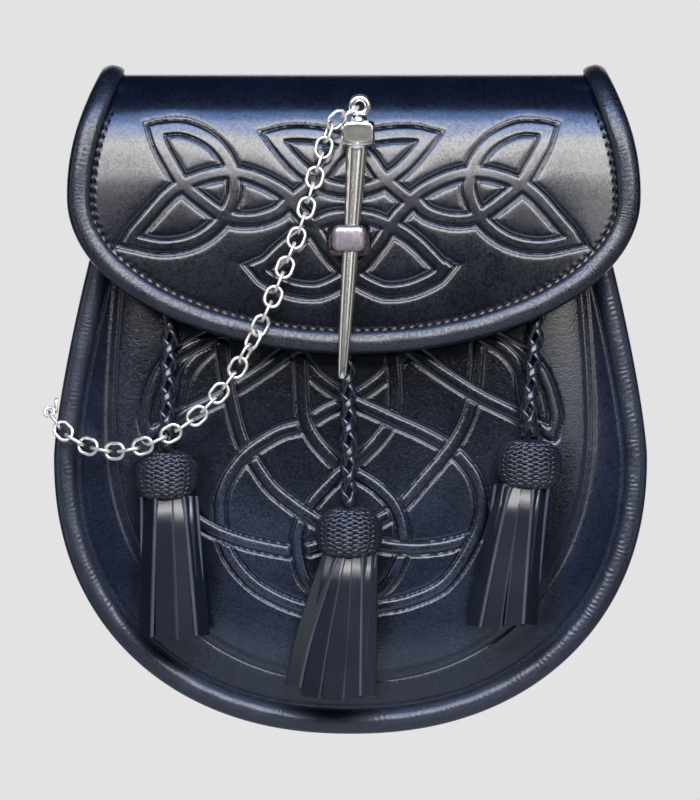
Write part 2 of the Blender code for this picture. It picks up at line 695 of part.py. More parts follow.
# ---- tassels ----------------------------------------------------------------------------
def oval(centre, half_x, half_y, power=2.0, sides=ROUND_SIDES):
    """A level ring, round for power 2 and squarer above it."""
    ring = []
    for i in range(sides):
        angle = 2 * math.pi * (i + 0.5) / sides
        c, s = math.cos(angle), math.sin(angle)
        ring.append(centre + Vector((half_x * math.copysign(abs(c) ** (2 / power), c),
                                     half_y * math.copysign(abs(s) ** (2 / power), s), 0.0)))
    return ring


def build_tassel(side, sizes):
    """Cord, woven cap and skirt of one tassel."""
    middle = Vector(sizes["cap"])
    width, height = sizes["cap_size"]
    rings = []
    for rise, reach in CAP_SECTION:
        rings.append(oval(middle + Vector((0.0, 0.0, rise * height / 2)),
                          width / 2 * reach, CAP_DEPTH / 2 * reach))
    add_object(f"tassel_knot_{side}", skin(rings), LACE)
    build_cord(f"tassel_cord_{side}", [Vector(point) for point in sizes["cord"]])
    build_skirt(f"tassel_skirt_{side}", sizes, middle - Vector((0.0, 0.0, height / 2 + GAP)))


def build_cord(name, route):
    """Lace as a tube along its route."""
    line = smooth_curve(route)
    length = sum((b - a).length for a, b in zip(line, line[1:]))
    points = evenly(line, round(length / CORD_STEP) + 1)
    curve = bpy.data.curves.new(name, "CURVE")
    curve.dimensions = "3D"
    curve.bevel_depth = CORD_RADIUS * MM
    curve.bevel_resolution = 2
    curve.use_fill_caps = True
    spline = curve.splines.new("POLY")
    spline.points.add(len(points) - 1)
    for slot, point in zip(spline.points, points):
        slot.co = (*(point * MM), 1.0)
    curve.materials.append(principled(name, *LACE))
    bpy.context.scene.collection.objects.link(bpy.data.objects.new(name, curve))


def build_skirt(name, sizes, top):
    """Outer form of the bunch of leather strips under a cap."""
    top_x, top_width = sizes["skirt_top"]
    end_x, end_z, end_width = sizes["skirt_end"]
    rings = []
    for i in range(SKIRT_ROWS):
        share = i / (SKIRT_ROWS - 1)
        centre = Vector((top_x + (end_x - top_x) * share, top.y,
                         top.z + (end_z - top.z) * share))
        width = top_width + (end_width - top_width) * share ** 0.8
        rings.append(oval(centre, width / 2, SKIRT_DEPTH / 2, power=3.2))
    add_object(name, skin(rings), LACE)


def main():
    """Build every piece of the pouch."""
    clear_scene()
    build_body()
    build_flap()
    build_strap_loop("left", -LOOP_X)
    build_strap_loop("right", LOOP_X)
    build_post()
    build_pin()
    build_ring()
    build_chain()
    build_anchor()
    for side, sizes in TASSELS.items():
        build_tassel(side, sizes)


main()
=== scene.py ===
"""Sporran pouch: tooled leather front and flap, rolled edging, a pin on a chain, three tassels.

Sizes in the classes are millimetres, and MM turns them into metres where a mesh is made. The
front faces -Y, +Z is up, and the origin is the middle of the waist strap's passage.
"""

import logging
import math
from collections.abc import Callable, Sequence
from dataclasses import dataclass, field
from enum import Enum
from typing import Any

import bmesh
import bpy
import numpy as np
from mathutils import Matrix, Vector


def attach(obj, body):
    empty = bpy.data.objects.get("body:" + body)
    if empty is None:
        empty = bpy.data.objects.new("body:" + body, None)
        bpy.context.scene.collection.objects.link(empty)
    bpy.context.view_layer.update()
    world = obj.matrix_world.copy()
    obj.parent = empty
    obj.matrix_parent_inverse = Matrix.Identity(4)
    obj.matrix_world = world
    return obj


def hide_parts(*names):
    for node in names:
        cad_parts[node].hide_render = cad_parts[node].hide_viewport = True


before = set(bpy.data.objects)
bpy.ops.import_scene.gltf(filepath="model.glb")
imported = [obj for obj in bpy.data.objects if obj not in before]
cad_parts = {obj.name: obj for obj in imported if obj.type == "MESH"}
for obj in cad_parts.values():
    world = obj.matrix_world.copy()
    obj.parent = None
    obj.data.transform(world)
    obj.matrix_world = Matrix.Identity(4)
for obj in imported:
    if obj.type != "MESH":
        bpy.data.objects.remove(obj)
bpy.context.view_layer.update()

MM = 0.001
BODY = "root"
GAP = 0.3
NO_STRAND = 9.0
LOG = logging.getLogger("sporran")

Line = Sequence[tuple[float, ...]]


# ---- lines and distances ------------------------------------------------------------------
def smooth_line(points: Line, steps: int = 12) -> np.ndarray:
    """Runs a Catmull-Rom curve through points.

    Args:
        points: Corner points, each of two or three numbers.
        steps: Points made for each span.

    Returns:
        The points of the curve, one a row.
    """
    knots = np.array(points, float)
    knots = np.vstack([2 * knots[0] - knots[1], knots, 2 * knots[-1] - knots[-2]])
    share = (np.arange(steps) / steps)[:, None]
    spans = []
    for a, b, c, d in zip(knots, knots[1:], knots[2:], knots[3:]):
        spans.append(0.5 * (2 * b + (c - a) * share + (2 * a - 5 * b + 4 * c - d) * share ** 2
                            + (3 * b - a - 3 * c + d) * share ** 3))
    return np.vstack([*spans, knots[-2:-1]])


def travelled(line: np.ndarray) -> np.ndarray:
    """Gives the distance along a line at each of its points."""
    return np.concatenate([[0.0], np.cumsum(np.linalg.norm(np.diff(line, axis=0), axis=1))])


def read_off(at: np.ndarray, along: np.ndarray, table: np.ndarray) -> np.ndarray:
    """Reads every column of a table, given at the distances along, off at other distances."""
    return np.column_stack([np.interp(at, along, column) for column in table.T])


def evenly(line: np.ndarray, count: int) -> np.ndarray:
    """Resamples a line into count evenly spaced points."""
    along = travelled(line)
    return read_off(np.linspace(0.0, along[-1], count), along, line)


def unit(rows: np.ndarray) -> np.ndarray:
    """Scales each row to a length of 1."""
    return rows / np.linalg.norm(rows, axis=1)[:, None]


def distance_to(places: np.ndarray, line: np.ndarray,
                mitred: bool = False) -> tuple[np.ndarray, np.ndarray]:
    """Finds how far each place is from a line.

    Args:
        places: Places in the x-z plane, one a row.
        line: The points of the line.
        mitred: Whether the line's sharp corners are sharp on their outer side as well.

    Returns:
        The distances, and where on the line the nearest point lies, in points from its start.
    """
    best = np.full(len(places), 1e9)
    where = np.zeros(len(places))
    for i, (a, b) in enumerate(zip(line, line[1:])):
        along = b - a
        size = float(along @ along)
        if size < 1e-12:
            continue
        away = places - a
        share = np.clip((away @ along) / size, 0.0, 1.0)
        gap = np.linalg.norm(away - share[:, None] * along, axis=1)
        closer = gap < best
        best[closer] = gap[closer]
        where[closer] = i + share[closer]
    if mitred:
        best = mitre(places, line, best, where)
    return best, where


def mitre(places: np.ndarray, line: np.ndarray, gap: np.ndarray,
          where: np.ndarray) -> np.ndarray:
    """Lets a line's sharp corners run out to a point instead of a round.

    Args:
        places: Places in the x-z plane.
        line: The points of the line.
        gap: Distance of each place from the line.
        where: Nearest point on the line, in points from its start.

    Returns:
        The distances, measured square to both legs beyond a sharp corner.
    """
    steps = np.diff(line, axis=0)
    steps = steps / np.maximum(1e-9, np.linalg.norm(steps, axis=1))[:, None]
    turn = (steps[1:] * steps[:-1]).sum(axis=1)
    found = gap.copy()
    for i in np.nonzero(turn < 0.7)[0] + 1:
        near = np.abs(where - i) < 1e-6
        away = places[near] - line[i]
        sides = [np.abs(away[:, 0] * s[1] - away[:, 1] * s[0]) for s in (steps[i - 1], steps[i])]
        found[near] = np.maximum(np.maximum(*sides), gap[near] * 0.35)
    return found


def circle(count: int) -> np.ndarray:
    """Gives the cosines and the sines of evenly spaced angles, as two rows."""
    angle = np.linspace(0.0, 2 * math.pi, count, endpoint=False)
    return np.stack([np.cos(angle), np.sin(angle)])


def bowl(half: float, top_z: float, drop: float, power: float, count: int) -> np.ndarray:
    """Gives the right half of a rounded bottom, down to the middle.

    Args:
        half: Half-width at the top.
        top_z: Height of the top.
        drop: Distance down to the lowest point.
        power: Power of the curve, 2 for an ellipse.
        count: Points wanted.

    Returns:
        Points (x, z), one a row.
    """
    angle = np.linspace(0.0, math.pi / 2, count)
    reach = np.maximum(0.0, np.cos(angle)) ** (2.0 / power)
    reach[-1] = 0.0
    return np.column_stack([half * reach, top_z - drop * np.sin(angle) ** (2.0 / power)])


def both_sides(right: np.ndarray) -> np.ndarray:
    """Walks down the mirror image of a right half, then back up the half itself."""
    return np.vstack([right * (-1.0, 1.0), right[-2::-1]])


def in_space(places: np.ndarray, y: np.ndarray | float) -> np.ndarray:
    """Puts places of the x-z plane in space, at y."""
    depth = np.broadcast_to(y, places.shape[:-1])
    return np.stack([places[..., 0], depth, places[..., 1]], axis=-1)


def eased(value: np.ndarray | float) -> Any:
    """Holds a share between 0 and 1 and rounds both of its ends."""
    share = np.clip(value, 0.0, 1.0)
    return share * share * (3.0 - 2.0 * share)


def rounded(profile: Line) -> np.ndarray:
    """Cuts the corners off a closed outline, so that it reads as a roll.

    Args:
        profile: Corners of the outline, in order.

    Returns:
        Two points for each corner.
    """
    outline = np.array(profile, float)
    following = np.roll(outline, -1, axis=0)
    return np.stack([0.8 * outline + 0.2 * following,
                     0.2 * outline + 0.8 * following], axis=1).reshape(-1, 2)


def uneven(along: np.ndarray, waves: Sequence[tuple[float, float, float]]) -> np.ndarray:
    """Adds sine waves up, as (length, height, start), for the small unevenness of handwork."""
    return sum(h * np.sin(2 * math.pi * along / length + start) for length, h, start in waves)


def wrinkled(along: np.ndarray, pitch: float) -> np.ndarray:
    """Gives the small folds of leather drawn round an edge, of uneven size and spacing.

    Args:
        along: Distances along the edge.
        pitch: Distance from fold to fold.

    Returns:
        Heights, of about -0.6 to 0.4.
    """
    drift = along + uneven(along, [(19.0, 0.9, 0.4), (7.3, 0.35, 2.0)])
    strength = 0.6 + 0.4 * np.sin(2 * math.pi * along / 11.0 + 1.0)
    return strength * (np.abs(np.sin(math.pi * drift / pitch)) ** 0.8 - 0.6)


# ---- meshes -------------------------------------------------------------------------------
def placed(name: str, data: bpy.types.ID) -> bpy.types.Object:
    """Makes an object of some data and links it to the scene.

    Args:
        name: Name of the object.
        data: Its mesh, light or camera.

    Returns:
        The object.
    """
    made = bpy.data.objects.new(name, data)
    bpy.context.scene.collection.objects.link(made)
    return made


def make_mesh(name: str, points: np.ndarray, faces: Sequence[Sequence[int]],
              marks: dict[str, np.ndarray] | None = None, sharp: float = 40.0,
              turn_out: bool = True) -> bpy.types.Object:
    """Makes a smooth-shaded piece.

    Args:
        name: Name of the piece.
        points: Its points in millimetres.
        faces: Its faces, as rows of point numbers.
        marks: Values at each point that its material reads.
        sharp: Edges that bend more than this many degrees stay sharp.
        turn_out: Whether the faces still have to be turned outwards.

    Returns:
        The piece, linked to the scene.
    """
    mesh = bpy.data.meshes.new(name)
    mesh.from_pydata((np.asarray(points) * MM).tolist(), [], faces)
    for mark, values in (marks or {}).items():
        layer = mesh.attributes.new(mark, "FLOAT", "POINT")
        layer.data.foreach_set("value", np.asarray(values, np.float32))
    if turn_out:
        builder = bmesh.new()
        builder.from_mesh(mesh)
        bmesh.ops.recalc_face_normals(builder, faces=builder.faces)
        builder.to_mesh(mesh)
        builder.free()
    mesh.validate()
    mesh.shade_smooth()
    mesh.set_sharp_from_angle(angle=math.radians(sharp))
    return placed(name, mesh)


def tube(rings: np.ndarray, closed: bool = False) -> tuple[np.ndarray, list[list[int]]]:
    """Joins rings of points into a closed surface.

    Args:
        rings: Points as (ring, point, 3).
        closed: Whether the last ring joins the first; otherwise both ends are capped.

    Returns:
        The points and the faces.
    """
    rows, count, _ = rings.shape
    points = rings.reshape(-1, 3)
    number = np.arange(rows * count).reshape(rows, count)
    upper = number if closed else number[:-1]
    lower = np.roll(number, -1, axis=0) if closed else number[1:]
    faces = np.stack([upper, np.roll(upper, -1, axis=1), np.roll(lower, -1, axis=1), lower],
                     axis=-1).reshape(-1, 4).tolist()
    if not closed:
        faces.append(number[0][::-1].tolist())
        faces.append(number[-1].tolist())
    return points, faces


def leather_shell(front: np.ndarray, back: np.ndarray, rows: np.ndarray,
                  columns: np.ndarray) -> tuple[np.ndarray, list[list[int]]]:
    """Closes a fine front sheet with a coarser back sheet and the cut edge between them.

    Args:
        front: Points of the front sheet, as (row, column, 3).
        back: The same points moved to the back of the leather.
        rows: Rows that the back sheet keeps, the first and the last among them.
        columns: Columns that it keeps, the first and the last among them.

    Returns:
        The points and the faces.
    """
    high, wide, _ = front.shape
    number = np.arange(high * wide).reshape(high, wide)
    faces = np.stack([number[:-1, :-1], number[1:, :-1], number[1:, 1:], number[:-1, 1:]],
                     axis=-1).reshape(-1, 4).tolist()
    kept = back[np.ix_(rows, columns)]
    behind = np.arange(kept.shape[0] * kept.shape[1]).reshape(kept.shape[:2]) + high * wide
    faces += np.stack([behind[:-1, :-1], behind[:-1, 1:], behind[1:, 1:], behind[1:, :-1]],
                      axis=-1).reshape(-1, 4).tolist()
    for a, b, row in ((0, 0, True), (high - 1, -1, False)):
        for k, (low, top) in enumerate(zip(columns, columns[1:])):
            chain = number[a, low:top + 1].tolist()
            edge = [int(behind[b, k + 1]), int(behind[b, k])]
            faces.append(chain + edge if row else (chain + edge)[::-1])
    for a, b, left in ((0, 0, True), (wide - 1, -1, False)):
        for k, (low, top) in enumerate(zip(rows, rows[1:])):
            chain = number[low:top + 1, a].tolist()
            edge = [int(behind[k + 1, b]), int(behind[k, b])]
            faces.append((chain + edge)[::-1] if left else chain + edge)
    return np.vstack([front.reshape(-1, 3), kept.reshape(-1, 3)]), faces


def thinned(count: int, step: int) -> np.ndarray:
    """Gives every step-th number below count, with the last one."""
    return np.unique(np.append(np.arange(0, count, step), count - 1))


def applied(piece: bpy.types.Object) -> None:
    """Turns a piece's modifiers into plain mesh.

    Args:
        piece: The piece.
    """
    bpy.context.view_layer.update()
    graph = bpy.context.evaluated_depsgraph_get()
    mesh = bpy.data.meshes.new_from_object(piece.evaluated_get(graph), depsgraph=graph)
    piece.modifiers.clear()
    old, piece.data = piece.data, mesh
    bpy.data.meshes.remove(old)
    mesh.name = piece.name


def fit_out(piece: bpy.types.Object, finish: "Finish", slot: str, *nodes: str) -> None:
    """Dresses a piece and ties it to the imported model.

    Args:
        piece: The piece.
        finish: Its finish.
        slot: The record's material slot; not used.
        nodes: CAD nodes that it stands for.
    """
    piece.data.materials.clear()
    piece.data.materials.append(finish.material())
    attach(piece, BODY)
    if nodes:
        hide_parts(*nodes)
    LOG.info("%s: %d faces", piece.name, len(piece.data.polygons))


# ---- node trees ---------------------------------------------------------------------------
@dataclass
class Board:
    """Places nodes in a tree and joins their sockets."""

    tree: bpy.types.NodeTree

    def put(self, kind: str, joins: dict[str | int, Any] | None = None,
            **settings: Any) -> bpy.types.Node:
        """Adds a node.

        Args:
            kind: Node type.
            joins: For each input, by name or number, a value or a socket to join to it.
            settings: Properties of the node.

        Returns:
            The node.
        """
        node = self.tree.nodes.new(kind)
        for key, value in settings.items():
            setattr(node, key, value)
        for key, value in (joins or {}).items():
            if isinstance(value, bpy.types.NodeSocket):
                self.tree.links.new(value, node.inputs[key])
            else:
                node.inputs[key].default_value = value
        return node

    def join(self, node: bpy.types.Node, joins: dict[str, bpy.types.NodeSocket]) -> None:
        """Joins sockets to a node's inputs, by name."""
        for key, socket in joins.items():
            self.tree.links.new(socket, node.inputs[key])

    def scaled(self, vector: Any, scale: Any) -> bpy.types.NodeSocket:
        """Scales a vector or a colour and gives the result."""
        node = self.put("ShaderNodeVectorMath", {0: vector, "Scale": scale}, operation="SCALE")
        return node.outputs[0]

    def for_camera(self, lit: bpy.types.Node, seen: bpy.types.Node, end: str) -> None:
        """Shows one shader to the camera and another to every other ray.

        Args:
            lit: Shader for every other ray.
            seen: Shader for the camera.
            end: Name of the tree's output node.
        """
        ray = self.put("ShaderNodeLightPath").outputs["Is Camera Ray"]
        both = self.put("ShaderNodeMixShader", {0: ray, 1: lit.outputs[0], 2: seen.outputs[0]})
        self.join(self.tree.nodes[end], {"Surface": both.outputs[0]})

    def sum(self, operation: str, *values: Any, clamp: bool = False) -> bpy.types.NodeSocket:
        """Adds a Math node and gives its result.

        Args:
            operation: Name of the operation.
            values: Numbers or sockets, in order.
            clamp: Whether the result is held between 0 and 1.

        Returns:
            The result's socket.
        """
        kind = "ShaderNodeMath"
        node = self.put(kind, dict(enumerate(values)), operation=operation, use_clamp=clamp)
        return node.outputs[0]

    def range(self, value: Any, low: float, high: float, start: float = 0.0,
              end: float = 1.0) -> bpy.types.NodeSocket:
        """Maps a value from low..high to start..end, smoothly, and gives the result.

        Args:
            value: Number or socket.
            low: Value that becomes start.
            high: Value that becomes end.
            start: Result at low.
            end: Result at high.

        Returns:
            The result's socket.
        """
        node = self.put("ShaderNodeMapRange", {0: value, 1: low, 2: high, 3: start, 4: end},
                        interpolation_type="SMOOTHSTEP")
        return node.outputs[0]

    def mix(self, share: Any, first: Any, second: Any) -> bpy.types.NodeSocket:
        """Mixes two colours and gives the result."""
        node = self.put("ShaderNodeMix", {0: share, 6: first, 7: second}, data_type="RGBA")
        return node.outputs[2]

    def noise(self, place: Any, scale: float, detail: float = 2.0,
              roughness: float = 0.5) -> bpy.types.NodeSocket:
        """Adds a noise texture and gives its value.

        Args:
            place: Where the noise is read.
            scale: Its fineness.
            detail: Finer layers added.
            roughness: Weight of the finer layers.

        Returns:
            The value's socket.
        """
        node = self.put("ShaderNodeTexNoise", {"Vector": place, "Scale": scale,
                                               "Detail": detail, "Roughness": roughness})
        return node.outputs[0]


def new_tree(kind: str, name: str, takes: Sequence[tuple[str, str, Any]],
             gives: Sequence[tuple[str, str]]) -> tuple[Board, Any, bpy.types.Node]:
    """Makes a node tree with its named inputs and outputs.

    Args:
        kind: Type of the tree.
        name: Name of the tree.
        takes: Inputs, as (name, socket type, value).
        gives: Outputs, as (name, socket type).

    Returns:
        Its board, the outputs of its input node, and its output node.
    """
    tree = bpy.data.node_groups.new(name, kind)
    for label, socket, value in takes:
        made = tree.interface.new_socket(name=label, in_out="INPUT",
                                         socket_type="NodeSocket" + socket)
        if value is not None:
            made.default_value = value
    for label, socket in gives:
        tree.interface.new_socket(name=label, in_out="OUTPUT", socket_type="NodeSocket" + socket)
    board = Board(tree)
    return board, board.put("NodeGroupInput").outputs, board.put("NodeGroupOutput")


def shared(make: Callable[[str], bpy.types.NodeTree]) -> bpy.types.NodeTree:
    """Gives the node tree that make builds, and builds it the first time only."""
    return bpy.data.node_groups.get(make.__name__) or make(make.__name__)


def leather_grain(name: str) -> bpy.types.NodeTree:
    """Builds the grain of leather: pebbles with fine creases, and a slow change of tone.

    Args:
        name: Name of the tree.

    Returns:
        The tree.
    """
    board, takes, gives = new_tree(
        "ShaderNodeTree", name,
        [("Place", "Vector", None), ("Pebble", "Float", 1.0), ("Crease", "Float", 0.4)],
        [("Height", "Float"), ("Tone", "Float")])
    place = board.scaled(takes["Place"], takes["Pebble"])
    cells = board.put("ShaderNodeTexVoronoi", {"Vector": place, "Scale": 1.0,
                                               "Randomness": 1.0}, feature="F1")
    pebble = board.range(cells.outputs["Distance"], 0.1, 0.75, 1.0, 0.0)
    fine = board.noise(place, 1.8, 1.0, 0.5)
    crease = board.range(board.noise(place, 0.45, 4.0, 0.65), 0.42, 0.5)
    height = board.sum("MULTIPLY_ADD", pebble, 0.6, board.sum("MULTIPLY", fine, 0.7))
    height = board.sum("MULTIPLY_ADD", crease, takes["Crease"], height)
    board.join(gives, {"Height": height, "Tone": board.noise(takes["Place"], 0.06, 3.0)})
    return board.tree


def handling_wear(name: str) -> bpy.types.NodeTree:
    """Builds wear with painted light: proud places rubbed paler (on tooled crowns partly a painted
    highlight), sunk places darker as painted shade in hollows, painted shade where the shade mark
    says, and a drift of tone.

    Args:
        name: Name of the tree.

    Returns:
        The tree.
    """
    board, takes, gives = new_tree(
        "ShaderNodeTree", name,
        [("Colour", "Color", None), ("Rubbed", "Color", None), ("Proud", "Float", 0.0),
         ("Sunk", "Float", 0.0), ("Tone", "Float", 0.5), ("Grain", "Float", 1.2),
         ("Roughness", "Float", 0.4), ("Shelter", "Float", 0.0), ("Wax", "Float", 0.3)],
        [("Colour", "Color"), ("Roughness", "Float"), ("Coat", "Float")])
    worn = board.range(takes["Grain"], 0.4, 1.2, 0.7, 1.0)
    # proud places paler: rubbed wear, and on tooled crowns partly a painted highlight
    proud_paler = board.sum("MULTIPLY", takes["Proud"], worn, clamp=True)
    colour = board.mix(proud_paler, takes["Colour"], takes["Rubbed"])
    # painted shade: the shade mark darkens the colour and lowers coat and roughness
    unshaded_share = board.sum("MULTIPLY_ADD", takes["Shelter"], -0.8, 1.0)
    drift = board.sum("MULTIPLY", board.range(takes["Tone"], 0.3, 0.7, 0.82, 1.2), unshaded_share)
    drift = board.sum("MULTIPLY", drift, board.range(takes["Grain"], 0.35, 1.1, 0.7, 1.3))
    # painted shade in hollows: sunk places are darkened
    out_of_hollows = board.sum("MULTIPLY_ADD", takes["Sunk"], -0.7, 1.0)
    tinted = board.scaled(colour, board.sum("MULTIPLY", drift, out_of_hollows))
    rough = board.sum("MULTIPLY_ADD", takes["Tone"], 0.12, takes["Roughness"])
    rough = board.sum("MULTIPLY_ADD", takes["Shelter"], -0.10, rough)
    rough = board.sum("ADD", rough, board.range(takes["Grain"], 0.35, 1.1, -0.025, 0.025))
    rough = board.sum("MULTIPLY_ADD", takes["Sunk"], 0.2, rough, clamp=True)
    wax = board.sum("MULTIPLY", takes["Wax"], board.range(takes["Grain"], 0.35, 1.1, 0.3, 1.6))
    board.join(gives, {"Colour": tinted, "Roughness": rough,
                       "Coat": board.sum("MULTIPLY", wax, unshaded_share)})
    return board.tree


def metal_tarnish(name: str) -> bpy.types.NodeTree:
    """Builds cast and handled metal: dark patches, pits and a fine cloud of scratches.

    Args:
        name: Name of the tree.

    Returns:
        The tree.
    """
    board, takes, gives = new_tree(
        "ShaderNodeTree", name,
        [("Place", "Vector", None), ("Bright", "Color", None), ("Dark", "Color", None),
         ("Amount", "Float", 0.3), ("Patch", "Float", 0.6), ("Sunk", "Float", 0.0),
         ("Roughness", "Float", 0.2)],
        [("Colour", "Color"), ("Roughness", "Float"), ("Height", "Float")])
    place = board.scaled(takes["Place"], takes["Patch"])
    cloud = board.noise(place, 1.0, 4.0, 0.65)
    pits = board.range(board.noise(place, 3.5, 2.0), 0.56, 0.7)
    share = board.sum("MULTIPLY", board.range(cloud, 0.35, 0.7), takes["Amount"])
    share = board.sum("MULTIPLY_ADD", pits, board.sum("MULTIPLY", takes["Amount"], 0.6), share)
    share = board.sum("ADD", share, takes["Sunk"], clamp=True)
    board.join(gives, {
        "Colour": board.mix(share, takes["Bright"], takes["Dark"]),
        "Roughness": board.sum("MULTIPLY_ADD", share, 0.35, takes["Roughness"], clamp=True),
        "Height": board.sum("MULTIPLY_ADD", pits, -0.6, cloud)})
    return board.tree


# ---- finishes -----------------------------------------------------------------------------
Colour = tuple[float, float, float]


@dataclass(frozen=True)
class Finish:
    """A finish with its own material, built once."""

    name: str
    colour: Colour
    roughness: float

    def material(self) -> bpy.types.Material:
        """Gives the finish's material, and makes it the first time.

        Returns:
            The material.
        """
        found = bpy.data.materials.get(self.name)
        if found:
            return found
        material = bpy.data.materials.new(self.name)
        material.use_nodes = True
        material.diffuse_color = (*self.colour, 1.0)
        board = Board(material.node_tree)
        place = board.put("ShaderNodeMapping", {
            "Vector": board.put("ShaderNodeTexCoord").outputs["Object"],
            "Scale": (1000.0, 1000.0, 1000.0)}).outputs[0]
        self.dress(board, material.node_tree.nodes["Principled BSDF"], place)
        return material

    def dress(self, board: Board, shader: bpy.types.Node, place: bpy.types.NodeSocket) -> None:
        """Fills the shader's sockets.

        Args:
            board: Board of the material's tree.
            shader: Its Principled shader.
            place: Place on the piece, in millimetres.
        """
        raise NotImplementedError

    def mark(self, board: Board, name: str) -> bpy.types.NodeSocket:
        """Reads a value that the mesh carries at its points."""
        return board.put("ShaderNodeAttribute", attribute_name=name).outputs["Fac"]

    def bump(self, board: Board, shader: bpy.types.Node, height: bpy.types.NodeSocket,
             depth: float, under: bpy.types.NodeSocket | None = None) -> None:
        """Raises the shader's surface by a height.

        Args:
            board: Board of the material's tree.
            shader: The shader.
            height: Height, about 0 to 1.
            depth: Millimetres that a height of 1 stands for.
            under: Normal that the height is added to.
        """
        node = board.put("ShaderNodeBump", {"Height": height, "Distance": depth * MM,
                                            "Strength": 1.0})
        if under:
            board.join(node, {"Normal": under})
        board.join(shader, {"Normal": node.outputs[0]})


@dataclass(frozen=True)
class Leather(Finish):
    """Dyed and waxed leather: paler where it stands proud (rubbed wear, and on tooled crowns partly a
    painted highlight), and painted darker as shade in its hollows and under the painted shade mark.
    """

    # paler colour where proud: rubbed wear, and on the tooled panel's crowns partly a painted
    # highlight
    rubbed: Colour = (0.05, 0.055, 0.07)
    pebble: float = 1.5
    crease: float = 0.3
    depth: float = 0.035
    wax: float = 0.3
    even: bool = False
    groove: tuple[float, float, float] = (0.0, 1.95, 0.5)
    line: tuple[float, float, float] = (0.0, 3.05, 0.26)

    def tooling(self, board: Board) -> bpy.types.NodeSocket:
        """Cuts the grooves of the interlace, each given as depth, distance and half-width.

        Args:
            board: Board of the material's tree.

        Returns:
            The normal, with the grooves cut.
        """
        gap = self.mark(board, "gap")
        height: Any = 1.0
        for depth, at, half in (self.groove, self.line):
            off = board.sum("ABSOLUTE", board.sum("SUBTRACT", gap, at))
            height = board.sum("SUBTRACT", height, board.range(off, 0.0, half, depth, 0.0))
        node = board.put("ShaderNodeBump", {"Height": height, "Distance": MM, "Strength": 1.0})
        return node.outputs[0]

    def dress(self, board: Board, shader: bpy.types.Node, place: bpy.types.NodeSocket) -> None:
        """Fills the shader with grain, wear, painted shade and highlight, wax and tooling.

        Args:
            board: Board of the material's tree.
            shader: Its Principled shader.
            place: Place on the piece, in millimetres.
        """
        grain = board.put("ShaderNodeGroup", {
            "Place": place, "Pebble": self.pebble, "Crease": self.crease},
            node_tree=shared(leather_grain))
        # the wear group paints shade too: sunk places and the painted shade mark darken the colour
        wear = board.put("ShaderNodeGroup", {
            "Colour": (*self.colour, 1.0), "Rubbed": (*self.rubbed, 1.0), "Wax": self.wax,
            "Roughness": self.roughness, "Tone": grain.outputs["Tone"],
            "Shelter": self.mark(board, "shelter"), "Proud": self.mark(board, "proud"),
            "Sunk": self.mark(board, "sunk")}, node_tree=shared(handling_wear))
        if not self.even:
            board.join(wear, {"Grain": grain.outputs["Height"]})
        board.join(shader, {"Base Color": wear.outputs["Colour"],
                            "Roughness": wear.outputs["Roughness"],
                            "Coat Weight": wear.outputs["Coat"]})
        shader.inputs["Coat Roughness"].default_value = 0.17
        under = self.tooling(board) if self.groove[0] else None
        self.bump(board, shader, grain.outputs["Height"], self.depth, under)


@dataclass(frozen=True)
class Metal(Finish):
    """Cast or drawn metal with some tarnish."""

    dark: Colour = (0.2, 0.18, 0.17)
    tarnish: float = 0.15
    patch: float = 0.5
    depth: float = 0.02

    def dress(self, board: Board, shader: bpy.types.Node, place: bpy.types.NodeSocket) -> None:
        """Fills the shader with tarnish, pits and polish.

        Args:
            board: Board of the material's tree.
            shader: Its Principled shader.
            place: Place on the piece, in millimetres.
        """
        coat = board.put("ShaderNodeGroup", {
            "Place": place, "Sunk": self.mark(board, "sunk"), "Bright": (*self.colour, 1.0),
            "Dark": (*self.dark, 1.0), "Amount": self.tarnish, "Patch": self.patch,
            "Roughness": self.roughness}, node_tree=shared(metal_tarnish))
        board.join(shader, {"Base Color": coat.outputs["Colour"],
                            "Roughness": coat.outputs["Roughness"]})
        shader.inputs["Metallic"].default_value = 1.0
        self.bump(board, shader, coat.outputs["Height"], self.depth)


@dataclass(frozen=True)
class Thread(Finish):
    """Waxed sewing thread with its twist."""

    def dress(self, board: Board, shader: bpy.types.Node, place: bpy.types.NodeSocket) -> None:
        """Fills the shader with the thread's twist and some dirt.

        Args:
            board: Board of the material's tree.
            shader: Its Principled shader.
            place: Place on the piece, in millimetres.
        """
        twist = board.noise(place, 4.0, 2.0)
        dull = tuple(0.35 * c for c in self.colour)
        colour = board.mix(board.range(board.noise(place, 0.35, 3.0), 0.4, 0.6),
                           (*dull, 1.0), (*self.colour, 1.0))
        board.join(shader, {"Base Color": colour})
        shader.inputs["Roughness"].default_value = self.roughness
        shader.inputs["Specular IOR Level"].default_value = 0.2
        self.bump(board, shader, twist, 0.05)


# One tooled leather as a lit and a shaded copy: the panel's TOOLED painted paler, the flap's
# FLAP_TOOLED painted darker; TOOLED's rubbed colour on crowns is partly wear, partly a painted
# highlight
TOOLED = Leather("tooled_leather", (0.0075, 0.0108, 0.0215), 0.187, rubbed=(0.016, 0.022, 0.036),
                 depth=0.024, wax=0.2, groove=(0.12, 1.95, 0.8))
FLAP_TOOLED = Leather("tooled_flap_leather", (0.0022, 0.0034, 0.0085), 0.155,
                      rubbed=(0.010, 0.012, 0.016), depth=0.004, wax=0.35, groove=(0.5, 2.05, 0.5),
                      line=(0.16, 3.1, 0.24))
PLAIN = Leather("plain_leather", (0.006, 0.007, 0.010), 0.45, pebble=1.2, wax=0.1)
